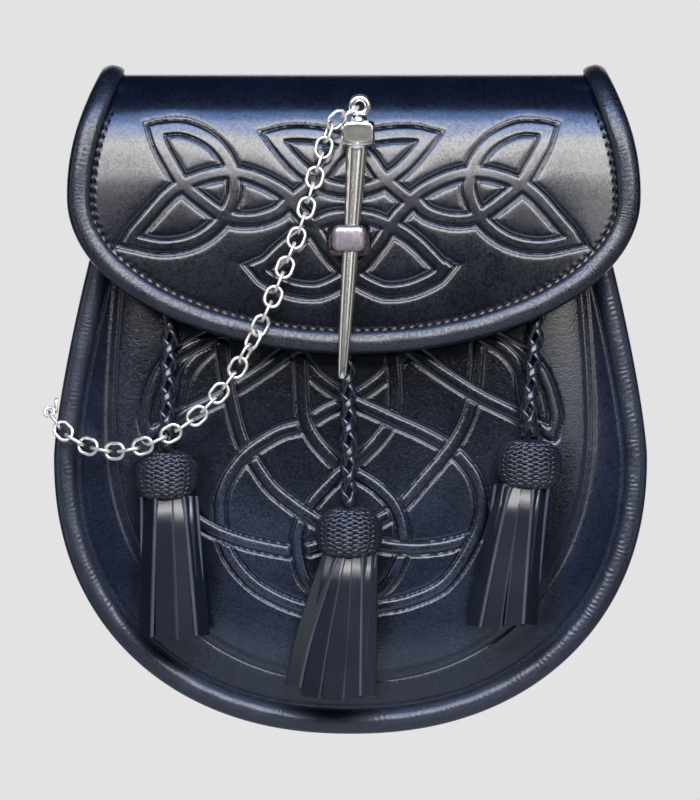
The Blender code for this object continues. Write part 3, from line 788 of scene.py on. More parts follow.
# One rolled edge leather as a lit and a shaded copy: the flap's FLAP_ROLLED is painted darker than
# the body's ROLLED
ROLLED = Leather("rolled_edge_leather", (0.0085, 0.0115, 0.021), 0.36, pebble=2.4, crease=0.5,
                 depth=0.03, wax=0.25)
FLAP_ROLLED = Leather("rolled_flap_leather", (0.003, 0.0044, 0.009), 0.23, pebble=2.4,
                      crease=0.6, depth=0.05, wax=0.25)
LACE = Leather("dyed_laces", (0.003, 0.0043, 0.009), 0.23, rubbed=(0.045, 0.052, 0.066),
               pebble=1.3, crease=0.2, depth=0.012, wax=0.3, even=True)
SILVER = Metal("polished_plate", (0.95, 0.89, 0.79), 0.195, dark=(0.13, 0.15, 0.18), tarnish=0.06,
               depth=0.003)
CHAIN_SILVER = Metal("drawn_plate", (1.0, 0.94, 0.82), 0.36, tarnish=0.1, depth=0.01)
PEWTER = Metal("dull_cast_metal", (0.44, 0.375, 0.385), 0.29, dark=(0.075, 0.055, 0.065), tarnish=0.7,
               patch=1.3, depth=0.08)
STITCHING = Thread("waxed_thread", (0.012, 0.015, 0.025), 0.6)


# ---- outer line of the pouch --------------------------------------------------------------
@dataclass(frozen=True)
class PouchForm:
    """Outer line and swell of the pouch, shared by its panels and edgings."""

    half: float = 89.1
    widest_z: float = -88.8
    belly: float = 83.4
    power: float = 2.2
    side_rise: float = 55.8
    side_taper: float = 9.9
    side_power: float = 1.35
    ease_z: float = -21.8
    ease_half: float = 76.4
    ease_slope: float = 0.255
    ease_length: float = 20.0
    mouth_z: float = 12.0
    back_y: float = -2.8
    swell_mouth: float = 3.9
    swell_belly: float = 7.5
    fullest_z: float = -130.0
    rim: float = 8.0
    swell_run: float = 12.0

    def half_width(self, z: np.ndarray) -> np.ndarray:
        """Gives the pouch's half-width at each height.

        Args:
            z: Heights.

        Returns:
            The half-width at each.
        """
        z = np.asarray(z, float)
        share = np.clip((self.widest_z - z) / self.belly, 0.0, 1.0)
        low = self.half * (1.0 - share ** self.power) ** (1.0 / self.power)
        rise = np.maximum(0.0, (z - self.widest_z) / self.side_rise)
        middle = self.half - self.side_taper * rise ** self.side_power
        spent = 1.0 - np.exp(-np.maximum(0.0, z - self.ease_z) / self.ease_length)
        high = self.ease_half - self.ease_slope * self.ease_length * spent
        return np.where(z < self.widest_z, low, np.where(z < self.ease_z, middle, high))

    def outline(self, count: int) -> tuple[np.ndarray, np.ndarray]:
        """Walks the outer line from the mouth's left corner down and up to the right one.

        Args:
            count: Points wanted, an odd number.

        Returns:
            The points in the x-z plane, and the outward direction at each.
        """
        z = np.linspace(self.mouth_z, self.widest_z, 80, endpoint=False)
        side = np.vstack([np.column_stack([self.half_width(z), z]),
                          bowl(self.half, self.widest_z, self.belly, self.power, 160)])
        line = both_sides(evenly(side, count // 2 + 1))
        along = np.gradient(line, axis=0)
        return line, unit(np.column_stack([along[:, 1], -along[:, 0]]))

    def rim_y(self, z: np.ndarray) -> np.ndarray:
        """Gives y of the front face of the panel's flat rim."""
        return -27.5 - 6.5 / 190.0 * (18.0 - np.asarray(z))

    def front_y(self, places: np.ndarray) -> np.ndarray:
        """Gives y of the swollen front face at places in the x-z plane.

        Args:
            places: Places, one a row.

        Returns:
            y at each.
        """
        line, _ = self.outline(97)
        inside, _ = distance_to(places, line)
        z = places[:, 1]
        rise = np.clip((z - self.fullest_z) / (self.mouth_z - self.fullest_z), 0.0, 1.0)
        swell = self.swell_belly - (self.swell_belly - self.swell_mouth) * rise ** 2
        grown = 1.0 - np.exp(-np.maximum(0.0, inside - self.rim) / self.swell_run)
        return self.rim_y(z) - swell * grown


POUCH = PouchForm()


# ---- interlace ----------------------------------------------------------------------------
@dataclass
class Strand:
    """One strand of an interlace: its middle line and where it crosses others."""

    line: np.ndarray
    closed: bool
    crossings: list[tuple[float, int]] = field(default_factory=list)
    over: dict[int, bool] = field(default_factory=dict)

    def pieces(self) -> list[tuple[np.ndarray, bool, bool, bool]]:
        """Cuts the strand half-way between its crossings.

        Returns:
            For each stretch its points, whether it lies on top, and whether its start and its
            end are cuts, past which another stretch goes on.
        """
        last = len(self.line) - 1
        marks = sorted(self.crossings)
        if not marks:
            return [(self.line, False, self.closed, self.closed)]
        cuts = [(a[0] + b[0]) / 2 for a, b in zip(marks, marks[1:])]
        stretches = []
        for (_, number), low, top in zip(marks, [0.0, *cuts], [*cuts, float(last)]):
            inner = np.arange(math.floor(low) + 1, math.ceil(top))
            at = np.concatenate([[low], inner, [top]])
            points = read_off(at, np.arange(last + 1), self.line)
            stretches.append((points, self.over[number], low > 0 or self.closed,
                              top < last or self.closed))
        return stretches


@dataclass
class Interlace:
    """Strands that pass over and under each other in turn."""

    strands: list[Strand]
    seed: tuple[float, float]
    seed_over: int

    def __post_init__(self) -> None:
        """Finds the crossings and settles which strand is on top at each."""
        places: list[tuple[np.ndarray, int, int]] = []
        for i, first in enumerate(self.strands):
            for j in range(i, len(self.strands)):
                for s, t, where in self.meetings(first.line, self.strands[j].line, i == j):
                    number = len(places)
                    places.append((where, i, j))
                    first.crossings.append((s, number))
                    self.strands[j].crossings.append((t, number))
        self.settle(places)

    def meetings(self, a: np.ndarray, b: np.ndarray,
                 same: bool) -> list[tuple[float, float, np.ndarray]]:
        """Finds where two lines cross.

        Args:
            a: Points of the first line.
            b: Points of the second line.
            same: Whether they are one line, which then crosses itself.

        Returns:
            For each crossing, the place on each line and the point.
        """
        found = []
        u, v = np.diff(a, axis=0), np.diff(b, axis=0)
        for i in range(len(u)):
            start = i + 3 if same else 0
            for_b, run = b[start:-1], v[start:]
            if not len(run):
                continue
            cross = u[i, 0] * run[:, 1] - u[i, 1] * run[:, 0]
            cross = np.where(np.abs(cross) < 1e-12, 1e-12, cross)
            gap = for_b - a[i]
            s = (gap[:, 0] * run[:, 1] - gap[:, 1] * run[:, 0]) / cross
            t = (gap[:, 0] * u[i, 1] - gap[:, 1] * u[i, 0]) / cross
            for k in np.nonzero((s >= 0) & (s < 1) & (t >= 0) & (t < 1))[0]:
                if same and i == 0 and start + k == len(v) - 1:
                    continue
                found.append((i + float(s[k]), start + k + float(t[k]), a[i] + u[i] * s[k]))
        return found

    def settle(self, places: list[tuple[np.ndarray, int, int]]) -> None:
        """Spreads the over-and-under from the seed crossing along every strand.

        Args:
            places: For each crossing, its point and the numbers of its two strands.
        """
        first = min(range(len(places)),
                    key=lambda n: float(np.linalg.norm(places[n][0] - self.seed)))
        ends: list[tuple[int, int, bool]] = [(self.seed_over, first, True)]
        while ends:
            index, number, on_top = ends.pop()
            strand = self.strands[index]
            order = [n for _, n in sorted(strand.crossings)]
            if number in strand.over:
                continue
            at = order.index(number)
            for k, other in enumerate(order):
                strand.over.setdefault(other, on_top == ((k - at) % 2 == 0))
            for other in order:
                _, i, j = places[other]
                mate = j if i == index else i
                if mate != index and other not in self.strands[mate].over:
                    ends.append((mate, other, not strand.over[other]))
        for strand in self.strands:
            for _, number in strand.crossings:
                strand.over.setdefault(number, False)

    def paint(self, places: np.ndarray, half: float, groove: float,
              depth: float) -> tuple[np.ndarray, np.ndarray, np.ndarray]:
        """Models the interlace.

        Args:
            places: Places in the x-z plane, one a row.
            half: From the middle of a strand to the bottom of the groove beside it.
            groove: Half the width of the groove.
            depth: Depth of the groove.

        Returns:
            The height at each place, how deep in a groove it is, from 0 to 1, and the distance
            from the middle of the strand that shows there.
        """
        height, sunk = np.zeros(len(places)), np.zeros(len(places))
        shown = np.full(len(places), NO_STRAND)
        stretches = [s for strand in self.strands for s in strand.pieces()]
        for stretch, _, cut_start, cut_end in sorted(stretches, key=lambda s: s[1]):
            low, high = stretch.min(axis=0) - half - groove, stretch.max(axis=0) + half + groove
            near = np.nonzero(np.all((places > low) & (places < high), axis=1))[0]
            gap, where = distance_to(places[near], stretch)
            kept = gap < half + groove
            if cut_start:
                kept &= where > 1e-6
            if cut_end:
                kept &= where < len(stretch) - 1 - 1e-6
            near, gap = near[kept], gap[kept]
            dip = 0.5 - 0.5 * np.cos(math.pi * np.clip(1.0 - np.abs(gap - half) / groove, 0.0, 1.0))
            crown = 0.4 * np.clip(1.0 - (gap / half) ** 2, 0.0, 1.0) * depth
            inner = gap < half
            height[near] = np.where(inner, crown - depth * dip,
                                    height[near] * (1.0 - dip) - depth * dip)
            sunk[near] = np.where(inner, dip, np.maximum(sunk[near], dip))
            nearer = np.abs(gap - half) < np.abs(shown[near] - half)
            shown[near] = np.where(inner | nearer, gap, shown[near])
        return height, sunk, shown


def mirrored(line: Line, middle: float = 0.0) -> list[tuple[float, float]]:
    """Mirrors a line of (x, z) points about a height line at x = middle."""
    return [(2 * middle - x, z) for x, z in line]


# ---- body of the pouch --------------------------------------------------------------------
@dataclass
class FrontPanel:
    """Moulded front of the pouch with its interlace and its border."""

    wall: float = 2.4
    inset: float = 2.5
    step: float = 0.52
    columns: int = 340
    band: float = 1.95
    groove: float = 0.85
    depth: float = 0.55
    tooled_z: tuple[float, float] = (-36.0, -166.0)
    last_z: tuple[float, float] = (-166.2, -169.65)
    border_top: float = -30.0
    border_half: float = 72.1
    border_z: float = -78.0
    border_drop: float = 77.5
    border_lean: tuple[float, float, float] = (2.0, 36.0, 1.5)
    border_cut: tuple[float, float] = (0.42, 1.35)
    border_dark: tuple[float, float, float] = (0.6, 1.1, 0.5)
    border_reach: float = 3.0
    border_shift: float = 0.85
    flattened: tuple[float, float] = (0.6, 1.5)
    flap_shade: tuple[float, float] = (3.0, 62.0)
    side_light: tuple[float, float, float] = (50.0, 16.0, 0.3)
    tassel_shade: tuple[float, float, float] = (15.5, 5.5, 0.75)
    tassel_right: float = 2.0
    tassel_fade: float = 5.0
    circle: Line = (
        (16.1, -57.6), (9.5, -65.4), (-0.2, -72), (-7.4, -75.3), (-14.6, -79.8), (-20.6, -81.6),
        (-26.6, -84.9), (-31.7, -88.8), (-36.2, -94.5), (-38.9, -100.8), (-39.2, -107.4),
        (-37.7, -115.5), (-33.5, -122.7), (-26.6, -129), (-15.5, -134.1), (-3.2, -135.9),
        (8.9, -134.1), (19.1, -131.7), (28.7, -126.6), (36.5, -114.9), (39.5, -105.3),
        (37.7, -95.7), (32.6, -88.8), (28.1, -85.5), (20.9, -81.6), (14, -78.6), (6.8, -75.3),
        (-0.2, -72), (-9.8, -65.4), (-16.4, -57.6))
    ring: Line = (
        (-14.9, -60), (-14.3, -72), (-13.4, -78.6), (-9.8, -84.9), (-3.5, -91.2), (2.3, -94.5),
        (8.3, -98.4), (13.4, -104.1), (15.8, -112.5), (14.6, -120.6), (8.9, -129),
        (-1.7, -132.9), (-12.5, -126.9), (-15.5, -118.8), (-15.8, -112.5), (-13.4, -105.9),
        (-9.8, -100.8), (-3.5, -94.5), (3.2, -88.8), (8.3, -83.7), (12.8, -76.5),
        (13.4, -66.9), (12.8, -58.5))
    right_lobe: Line = (
        (-38.6, -55.5), (-37.4, -63.6), (-35.9, -71.4), (-32.9, -82.8), (-29.3, -90),
        (-23.9, -97.8), (-18.8, -102.3), (-13.7, -105.9), (-6.2, -110.7), (2.3, -114),
        (10.1, -115.8), (22.4, -116.4), (34.4, -114), (44.9, -108.6), (53.9, -100.2),
        (56.9, -90.6), (54.8, -81), (52.4, -72), (50.9, -63), (46.1, -57), (40.1, -53.4))
    left_lobe: Line = (
        (38.6, -55.5), (38, -63.6), (36.8, -72), (33.5, -81), (28.4, -88.5), (22.4, -95.4),
        (14.6, -104.1), (7.4, -108.9), (-1.7, -113.1), (-9.2, -115.8), (-17, -117.3),
        (-27.8, -115.5), (-35.3, -113.4), (-42.5, -110.4), (-49.4, -105.6), (-54.2, -99),
        (-56.3, -90), (-54.2, -81), (-51.2, -72), (-48.8, -63.6), (-43.7, -57.6),
        (-38.6, -54))
    leaf: Line = (
        (17.9, -57), (26.9, -63.6), (38.3, -70.8), (49.4, -76.2), (56.9, -80.4), (60.4, -82.6))
    leaf_back: Line = (
        (60.4, -82.6), (61.4, -76.8), (59.2, -68.2), (55.4, -61.2), (49.4, -57), (41.9, -53.4))

    def strands(self) -> list[Strand]:
        """Gives the strands of the interlace; each leaf is two curves that meet in a point.

        Returns:
            The strands.
        """
        made = [Strand(smooth_line(line, 6), False)
                for line in (self.circle, self.ring, self.right_lobe, self.left_lobe)]
        for turn in (lambda line: line, mirrored):
            there, back = (smooth_line(turn(line), 6) for line in (self.leaf, self.leaf_back))
            made.append(Strand(np.vstack([there, back[1:]]), False))
        return made

    def border(self) -> np.ndarray:
        """Gives the middle line of the border band, from under the flap to under the flap.

        Returns:
            Points (x, z), one a row.
        """
        z = np.linspace(self.border_top, self.border_z, 40, endpoint=False)
        drawn_in, height, power = self.border_lean
        lean = drawn_in * np.maximum(0.0, (z - self.border_z) / height) ** power
        belly = bowl(self.border_half, self.border_z, self.border_drop, POUCH.power, 80)
        return both_sides(evenly(np.vstack([
            np.column_stack([self.border_half - lean, z]), belly]), 120))

    def build(self) -> None:
        """Builds the panel as a fine tooled front, a plain back and the edge between."""
        line, outward = POUCH.outline(481)
        inner = line - outward * self.inset
        right = inner[len(inner) // 2:]
        step = self.step * 1.0
        columns = self.columns // 1
        top, bottom = self.tooled_z
        z = np.concatenate([np.linspace(POUCH.mouth_z, top, 12, endpoint=False),
                            np.arange(top, bottom, -step), np.linspace(*self.last_z, 9)])
        reach = np.interp(z, right[:, 1], right[:, 0])
        share = np.linspace(-1.0, 1.0, columns)
        places = np.stack([reach[:, None] * share, np.repeat(z[:, None], columns, 1)], axis=-1)
        flat = places.reshape(-1, 2)
        y = POUCH.front_y(flat)
        # sunk: painted shade in the grooves of the interlace
        height, sunk, shown = Interlace(self.strands(), (-38.0, -113.0), 3).paint(
            flat, self.band, self.groove, self.depth)
        gap, _ = distance_to(flat, self.border())
        dip, half = self.border_cut
        dark, at, width = self.border_dark
        height = height - dip * np.exp(-(gap / half) ** 4)
        # painted shade beside the border groove
        sunk = np.maximum(sunk, dark * np.exp(-((gap - at) / width) ** 2))
        shown = np.where(gap < self.border_reach, gap + self.border_shift, shown)
        # painted shade: the leather is painted darker under the flap and beside the tassels, where
        # their shadows fall
        shelter = self.shelter(flat)
        loss, power = self.flattened
        height = height * (1.0 - loss * shelter ** power)
        front = in_space(flat, y - height).reshape(*places.shape[:2], 3)
        back = in_space(flat, y + self.wall).reshape(front.shape)
        points, faces = leather_shell(front, back, thinned(len(z), 9), thinned(columns, 12))
        spare = np.zeros(len(points) - len(flat))
        # proud crowns painted paler: partly rubbed wear, partly a painted highlight
        proud = np.clip(height / (0.4 * self.depth), 0.0, 1.0)
        piece = make_mesh("front_panel_tooled", points, faces, {
            "sunk": np.append(sunk, spare), "proud": np.append(proud, spare),
            "gap": np.append(shown, spare + NO_STRAND),
            "shelter": np.append(shelter, spare)}, turn_out=False)
        fit_out(piece, TOOLED, "panel_leather", "front_panel")

    def shelter(self, places: np.ndarray) -> np.ndarray:
        """Gives the painted shade that flap and tassels cast on each place, from 0 to 1.

        Args:
            places: Places in the x-z plane, one a row.

        Returns:
            The share at each.
        """
        edge, _, _ = FlapEdging().frames()
        edge = edge[(edge[:, 1] < -33.0) & (edge[:, 2] < -10.0)]
        edge = edge[np.argsort(edge[:, 0])]
        below = np.interp(places[:, 0], edge[:, 0], edge[:, 2]) - places[:, 1]
        start, run, light = self.side_light
        side = eased((np.abs(places[:, 0]) - start) / run)
        full, fade = self.flap_shade
        under = eased(1.0 - (below - full) / fade) * (1.0 - light * side)
        half, edge_run, share = self.tassel_shade
        for tassel in TASSELS:
            top, end = tassel.cap_at[2] + 9.0, tassel.skirt_end[1] - 2.5
            middle = np.interp(places[:, 1], (end, top), (tassel.skirt_end[0], tassel.cap_at[0]))
            beside = np.abs(places[:, 0] - middle - self.tassel_right)
            shade = (eased((half - beside) / edge_run)
                     * eased((places[:, 1] - end) / self.tassel_fade)
                     * eased((top - places[:, 1]) / self.tassel_fade))
            under = np.maximum(under, share * shade)
        return under


class Side(Enum):
    """The two long faces of the pouch that carry an edging."""

    FRONT = "front"
    BACK = "back"


@dataclass
class BodyEdging:
    """Rolled leather that binds the front or the back seam of the pouch."""

    side: Side
    profile: Line
    stations: int
    gathers: float = 0.0

    def build(self) -> None:
        """Sweeps the rolled profile round the pouch's outer line."""
        line, outward = POUCH.outline(self.stations)
        along = travelled(line)
        profile = rounded(self.profile)
        sign = -1.0 if self.side is Side.FRONT else 1.0
        at = line[:, None, :] + outward[:, None, :] * profile[None, :, :1]
        face = POUCH.rim_y(at[..., 1]) if self.side is Side.FRONT else POUCH.back_y
        roll = np.clip(profile[:, 1] / profile[:, 1].max(), 0.0, 1.0)
        height = profile[None, :, 1] + self.handwork(along, profile[:, 0]) * roll
        points, faces = tube(in_space(at, face + sign * height))
        # painted shade in the crease along the roll's inner edge
        inner = np.exp(-((profile[:, 0] + 7.2) / 0.9) ** 2) * roll
        piece = make_mesh(f"{self.side.value}_edging_rolled", points, faces,
                          {"sunk": np.tile(inner, len(line))})
        fit_out(piece, ROLLED, "edge_leather", f"{self.side.value}_binding")

    def handwork(self, along: np.ndarray, across: np.ndarray) -> np.ndarray:
        """Gives the slanting gathers and the small unevenness of the roll.

        Args:
            along: Distance of each station along the seam.
            across: Place of each profile point, outward from the outer line.

        Returns:
            Heights in millimetres, as (station, profile point).
        """
        slant = along[:, None] + 1.6 * across[None, :]
        share = along[:, None] / along[-1]
        gathered = self.gathers * (0.45 + 0.55 * eased((share - 0.5) / 0.2))
        inner = eased((-1.0 - across[None, :]) / 3.6)
        return (gathered * (0.15 + 0.85 * inner) * wrinkled(slant, 1.8)
                + uneven(slant, [(31.0, 0.06, 0.3), (11.0, 0.03, 2.0)]))


@dataclass
class SideWall:
    """Leather wall that runs down one side of the pouch, round the bottom and up the other."""

    inset: float = 3.2
    wall: float = 1.8
    front_gap: float = 2.7
    back_edge: float = -5.5
    rows: int = 13
    hollow: float = 0.5

    def build(self) -> None:
        """Sweeps the wall's strip along the outer line, a little hollow between its seams."""
        line, outward = POUCH.outline(361)
        inner, outer = (line - outward * n for n in (self.inset + self.wall, self.inset))
        rings = []
        for edge, hollow in ((inner, 0.0), (outer, self.hollow)):
            front = POUCH.rim_y(edge[:, 1]) + self.front_gap
            for share in np.linspace(0.0, 1.0, self.rows):
                sink = hollow * math.sin(math.pi * share) ** 2
                rings.append(in_space(edge - outward * sink,
                                      front + (self.back_edge - front) * share))
        order = [*range(self.rows), *range(2 * self.rows - 1, self.rows - 1, -1)]
        points, faces = tube(np.stack([rings[i] for i in order], axis=1))
        piece = make_mesh("side_wall_leather", points, faces)
        fit_out(piece, PLAIN, "panel_leather", "gusset")


@dataclass
class BackPanel:
    """Flat back of the pouch."""

    inset: float = 2.1
    wall: float = 2.4
    top_z: float = 19.0
    corner: float = 8.0
    round_over: float = 0.5
    middle_z: float = -75.0

    def build(self) -> None:
        """Builds the flat sheet with its raised, round-cornered top and eased edges."""
        line, outward = POUCH.outline(361)
        body = line - outward * self.inset
        top_half = float(POUCH.half_width(self.top_z)) - self.inset
        angle = np.linspace(0.0, math.pi / 2, 9)
        turn = np.column_stack([top_half - self.corner * (1.0 - np.cos(angle)),
                                self.top_z - self.corner * (1.0 - np.sin(angle))])
        turn[0, 1] = POUCH.mouth_z + 0.5
        ring = np.vstack([body, turn, turn[::-1] * (-1.0, 1.0)])
        away = unit(ring - (0.0, self.middle_z))
        r, y = self.round_over, POUCH.back_y
        rings = []
        for sink, depth in ((r, 0.0), (0.3 * r, 0.3 * r), (0.0, r), (0.0, self.wall - r),
                            (0.3 * r, self.wall - 0.3 * r), (r, self.wall)):
            rings.append(in_space(ring - away * sink, y - depth))
        points, faces = tube(np.stack(rings))
        piece = make_mesh("back_panel_leather", points, faces)
        fit_out(piece, PLAIN, "panel_leather", "back_panel")


@dataclass
class StrapLoop:
    """Leather keeper on the back that the waist strap passes through."""

    side: str
    centre_x: float
    width: float = 24.0
    wall: float = 2.2
    corner: float = 0.5
    section: Line = ((-1.4, 17.5), (-1.4, 13.0), (-0.6, 11.2), (1.6, 9.9), (3.3, 8.6), (3.9, 6.6))

    def build(self) -> None:
        """Builds the bridge of leather with rounded cut edges."""
        half = [*self.section, *((y, -z) for y, z in reversed(self.section))]
        line = evenly(smooth_line(half, 6), 61)
        along = unit(np.gradient(line, axis=0))
        normal = np.column_stack([-along[:, 1], along[:, 0]])
        shape = np.array(rounded_box(self.width, self.wall, self.corner, 4))
        lift = line[:, None, :] + normal[:, None, :] * shape[None, :, 1:]
        x = np.broadcast_to(self.centre_x + shape[None, :, 0], lift.shape[:2])
        points, faces = tube(np.stack([x, lift[..., 0], lift[..., 1]], axis=-1))
        piece = make_mesh(f"strap_loop_{self.side}_leather", points, faces)
        fit_out(piece, PLAIN, "panel_leather", f"strap_loop_{self.side}")


# ---- flap ---------------------------------------------------------------------------------
@dataclass(frozen=True)
class FlapForm:
    """Section and outer line of the flap, shared by its leather and its edging."""

    shift: float = 1.0
    half: float = 85.8
    widest_z: float = -12.0
    drop: float = 46.2
    taper: float = 0.00767
    tail_half: float = 65.0
    bow: float = 2.0
    section: Line = (
        (-6.9, 3.0), (-6.9, 12.0), (-8.0, 18.0), (-12.2, 22.9), (-19.0, 24.8), (-27.2, 22.9),
        (-34.4, 17.2), (-39.0, 8.6), (-41.4, -3.0), (-42.9, -16.0), (-44.2, -32.0),
        (-45.2, -46.0), (-45.9, -58.6))

    def curve(self) -> np.ndarray:
        """Gives the section's middle line as (y, z), from the tongue over the roll."""
        return smooth_line(self.section, 24)

    def roll(self) -> int:
        """Gives the number of the curve's highest point."""
        return int(np.argmax(self.curve()[:, 1]))

    def stations(self, inset: float, above: int, below: int) -> tuple[np.ndarray, np.ndarray]:
        """Gives rows of the flap from the tongue to the tip.

        Args:
            inset: Distance inside the outer line.
            above: Rows down to the widest height.
            below: Rows round the half ellipse under it.

        Returns:
            The section point (y, z) of each row, and the half-width there.
        """
        curve, roll = self.curve(), self.roll()
        front = curve[roll:]
        split = float(np.interp(-self.widest_z, -front[:, 1], front[:, 0]))
        upper = evenly(np.vstack([curve[:roll], front[front[:, 1] > self.widest_z],
                                  (split, self.widest_z)]), above)
        top = self.half - self.taper * (upper[:, 1] - self.widest_z) ** 2
        share = eased((upper[:, 1] - 18.0) / 5.0)
        tail = self.tail_half + (top - self.tail_half) * share
        reach = np.where(upper[:, 0] > curve[roll, 0], tail, top) - inset
        angle = np.linspace(0.0, math.pi / 2, below + 1)[1:]
        z = self.widest_z - (self.drop - inset) * np.sin(angle)
        lower = np.column_stack([np.interp(-z, -front[:, 1], front[:, 0]), z])
        return (np.vstack([upper, lower]),
                np.append(reach, (self.half - inset) * np.cos(angle)))

    def facing(self, rows: np.ndarray) -> np.ndarray:
        """Gives the outward direction (y, z) of the section at each row.

        Args:
            rows: Section points (y, z).

        Returns:
            The direction at each, of length 1.
        """
        curve = self.curve()
        along = np.gradient(curve, axis=0)
        nearest = [int(np.argmin(((curve - row) ** 2).sum(axis=1))) for row in rows]
        return unit(np.column_stack([along[nearest, 1], -along[nearest, 0]]))

    def place(self, x: np.ndarray, rows: np.ndarray) -> np.ndarray:
        """Puts points of the flap in space, with the bend towards its sides.

        Args:
            x: Distance from the flap's middle.
            rows: Section point (y, z) of each.

        Returns:
            The points.
        """
        front = np.clip((self.curve()[self.roll(), 0] - rows[..., 0]) / 15.0, 0.0, 1.0)
        y = rows[..., 0] + self.bow * front * (x / self.half) ** 2
        return np.stack([x + self.shift, y, rows[..., 1]], axis=-1)


FLAP = FlapForm()


@dataclass
class Flap:
    """Lid of the pouch with its flat interlace and the hole for the post."""

    wall: float = 2.6
    edge: float = 1.5
    columns: int = 390
    fine: float = 0.45
    band: float = 2.1
    depth: float = 0.34
    cut_width: float = 0.45
    trace: tuple[float, float, float] = (0.08, 1.0, 0.3)
    ground: tuple[float, float] = (0.2, 1.5)
    thinner: tuple[float, float, float] = (1.3, 53.0, 22.0)
    slot: tuple[float, float] = (0.13, 0.75)
    front_y: float = -30.0
    tooled_top: float = 12.0
    plain_step: float = 1.3
    shade: tuple[float, float, float] = (0.56, -8.0, 40.0)
    hole: tuple[float, float, float] = (12.6, 10.2, 2.4)
    hole_at: tuple[float, float] = (-0.45, -23.7)
    side_loops: Sequence[Line] = (
        ((-58, 9), (-50, 9.3), (-42.4, 6), (-37.6, 0.9), (-35.2, -4.8), (-35, -10.8),
         (-38.2, -17.7), (-43.6, -22.8), (-50, -25.5), (-57.4, -26.1), (-66.2, -24.3)),
        ((-66.2, -23.7), (-60.4, -17.1), (-55, -11.1), (-50.5, -7.8), (-43.6, -5.1),
         (-36.4, -3.9), (-29, -5.4), (-22, -8.7), (-17.8, -11.7)),
        ((-17.8, -11.7), (-22, -15.9), (-28.4, -18), (-34.4, -18), (-39.4, -16.2),
         (-45.2, -12), (-50, -7.8), (-53.6, -2.1), (-56.8, 3.9), (-58.4, 8.7)))
    crown: Line = (
        (-23, 6.6), (-19.6, 7.4), (-14.4, 7.6), (-9.3, 7.1), (-4.6, 6.2), (0.1, 4.5),
        (3, 2.6), (6, -0.4), (8.8, -4.4), (12.8, -8.4), (17.5, -12.2))
    arch: Line = (
        (-23, 6.6), (-20.2, 2.8), (-16.3, -1.6), (-12.8, -4.6), (-9.3, -7), (-5.5, -8.6),
        (0.2, -9.3), (5.8, -8.6), (9.7, -7), (13.2, -4.6), (16.7, -1.6), (20.6, 2.8),
        (23.4, 6.6))
    lower_arch: Line = (
        (-27.8, -32.5), (-24.8, -31), (-20.6, -27), (-15.9, -23.2), (-11.6, -20.4),
        (-8.3, -18.5), (-4.6, -17.4), (0.1, -17.1), (4.8, -17.5), (8.4, -18.5),
        (11.4, -19.9), (15.2, -21.6), (19.9, -25.1), (24.1, -29.3), (27.6, -33))
    skirt: Line = (
        (17.5, -13.6), (14.2, -17.1), (11.6, -20.6), (9.1, -24.4), (6.2, -28.2), (3, -31.9),
        (0.1, -34.5), (-4.1, -37.1), (-8.3, -39), (-11.6, -39.5), (-16.3, -39),
        (-20.6, -37.6), (-25.3, -35.2), (-27.8, -32.5))

    def routes(self) -> list[np.ndarray]:
        """Gives the middle lines of the strands, sharp where the real ones are.

        Returns:
            The lines.
        """
        loops = [smooth_line(line, 5) for line in self.side_loops]
        left = np.vstack([loops[0], loops[1][1:], loops[2][1:], loops[0][1:3]])
        crown, skirt = smooth_line(self.crown, 5), smooth_line(self.skirt, 5)
        other = [np.array(mirrored(line, 0.2)) for line in (crown, skirt)]
        lower = smooth_line(self.lower_arch, 5)
        left_ear = np.vstack([crown[3:0:-1], smooth_line(self.arch, 5)])
        left_foot = np.vstack([skirt[-6:-1], lower])
        return [left, np.array(mirrored(left, 0.4)), crown, skirt, *other, left_ear,
                np.vstack([left_ear[-8:], other[0][1:6]]), left_foot,
                np.vstack([lower[-8:], other[1][-2:-7:-1]])]

    def relief(self, places: np.ndarray) -> tuple[np.ndarray, np.ndarray, np.ndarray]:
        """Models the interlace of the flap.

        Args:
            places: Places in the x-z plane, one a row.

        Returns:
            The height at each place, how deep in a groove it is, and its distance from the
            middle of the nearest strand.
        """
        gap = np.full(len(places), 99.0)
        near = np.nonzero((np.abs(places[:, 0]) < 75.0) & (places[:, 1] < 16.0))[0]
        for line in self.routes():
            found, _ = distance_to(places[near], line, mitred=True)
            gap[near] = np.minimum(gap[near], found)
        trace_depth, at, width = self.trace
        ground_depth, fade = self.ground
        cut = np.exp(-((gap - self.band) / self.cut_width) ** 2)
        trace = np.exp(-((gap - self.band - at) / width) ** 2)
        beside = np.exp(-np.maximum(0.0, gap - self.band) / fade)
        height = -self.depth * cut - trace_depth * trace - ground_depth * beside
        loss, start, run = self.thinner
        height -= loss * np.clip((np.abs(places[:, 0] - FLAP.shift) - start) / run, 0.0, 1.2) ** 2
        return height, np.clip(cut + 0.5 * trace, 0.0, 1.0), np.minimum(gap, NO_STRAND)

    def seam(self, places: np.ndarray) -> tuple[np.ndarray, np.ndarray]:
        """Presses the short slot that each stitch of the seam lies in.

        Args:
            places: Places in the x-z plane, one a row.

        Returns:
            The height at each place, and how deep in a slot it is.
        """
        edging = FlapEdging()
        line = edging.seam()[:, ::2]
        gap, where = distance_to(places, line[::4])
        along = np.interp(where, np.arange(len(line[::4])), travelled(line)[::4])
        between = 0.5 + 0.5 * np.cos(2 * math.pi * along / edging.stitch_pitch)
        depth, half = self.slot
        slot = np.exp(-(gap / half) ** 2) * eased((0.95 - between) / 0.8)
        return -depth * slot, 0.6 * slot

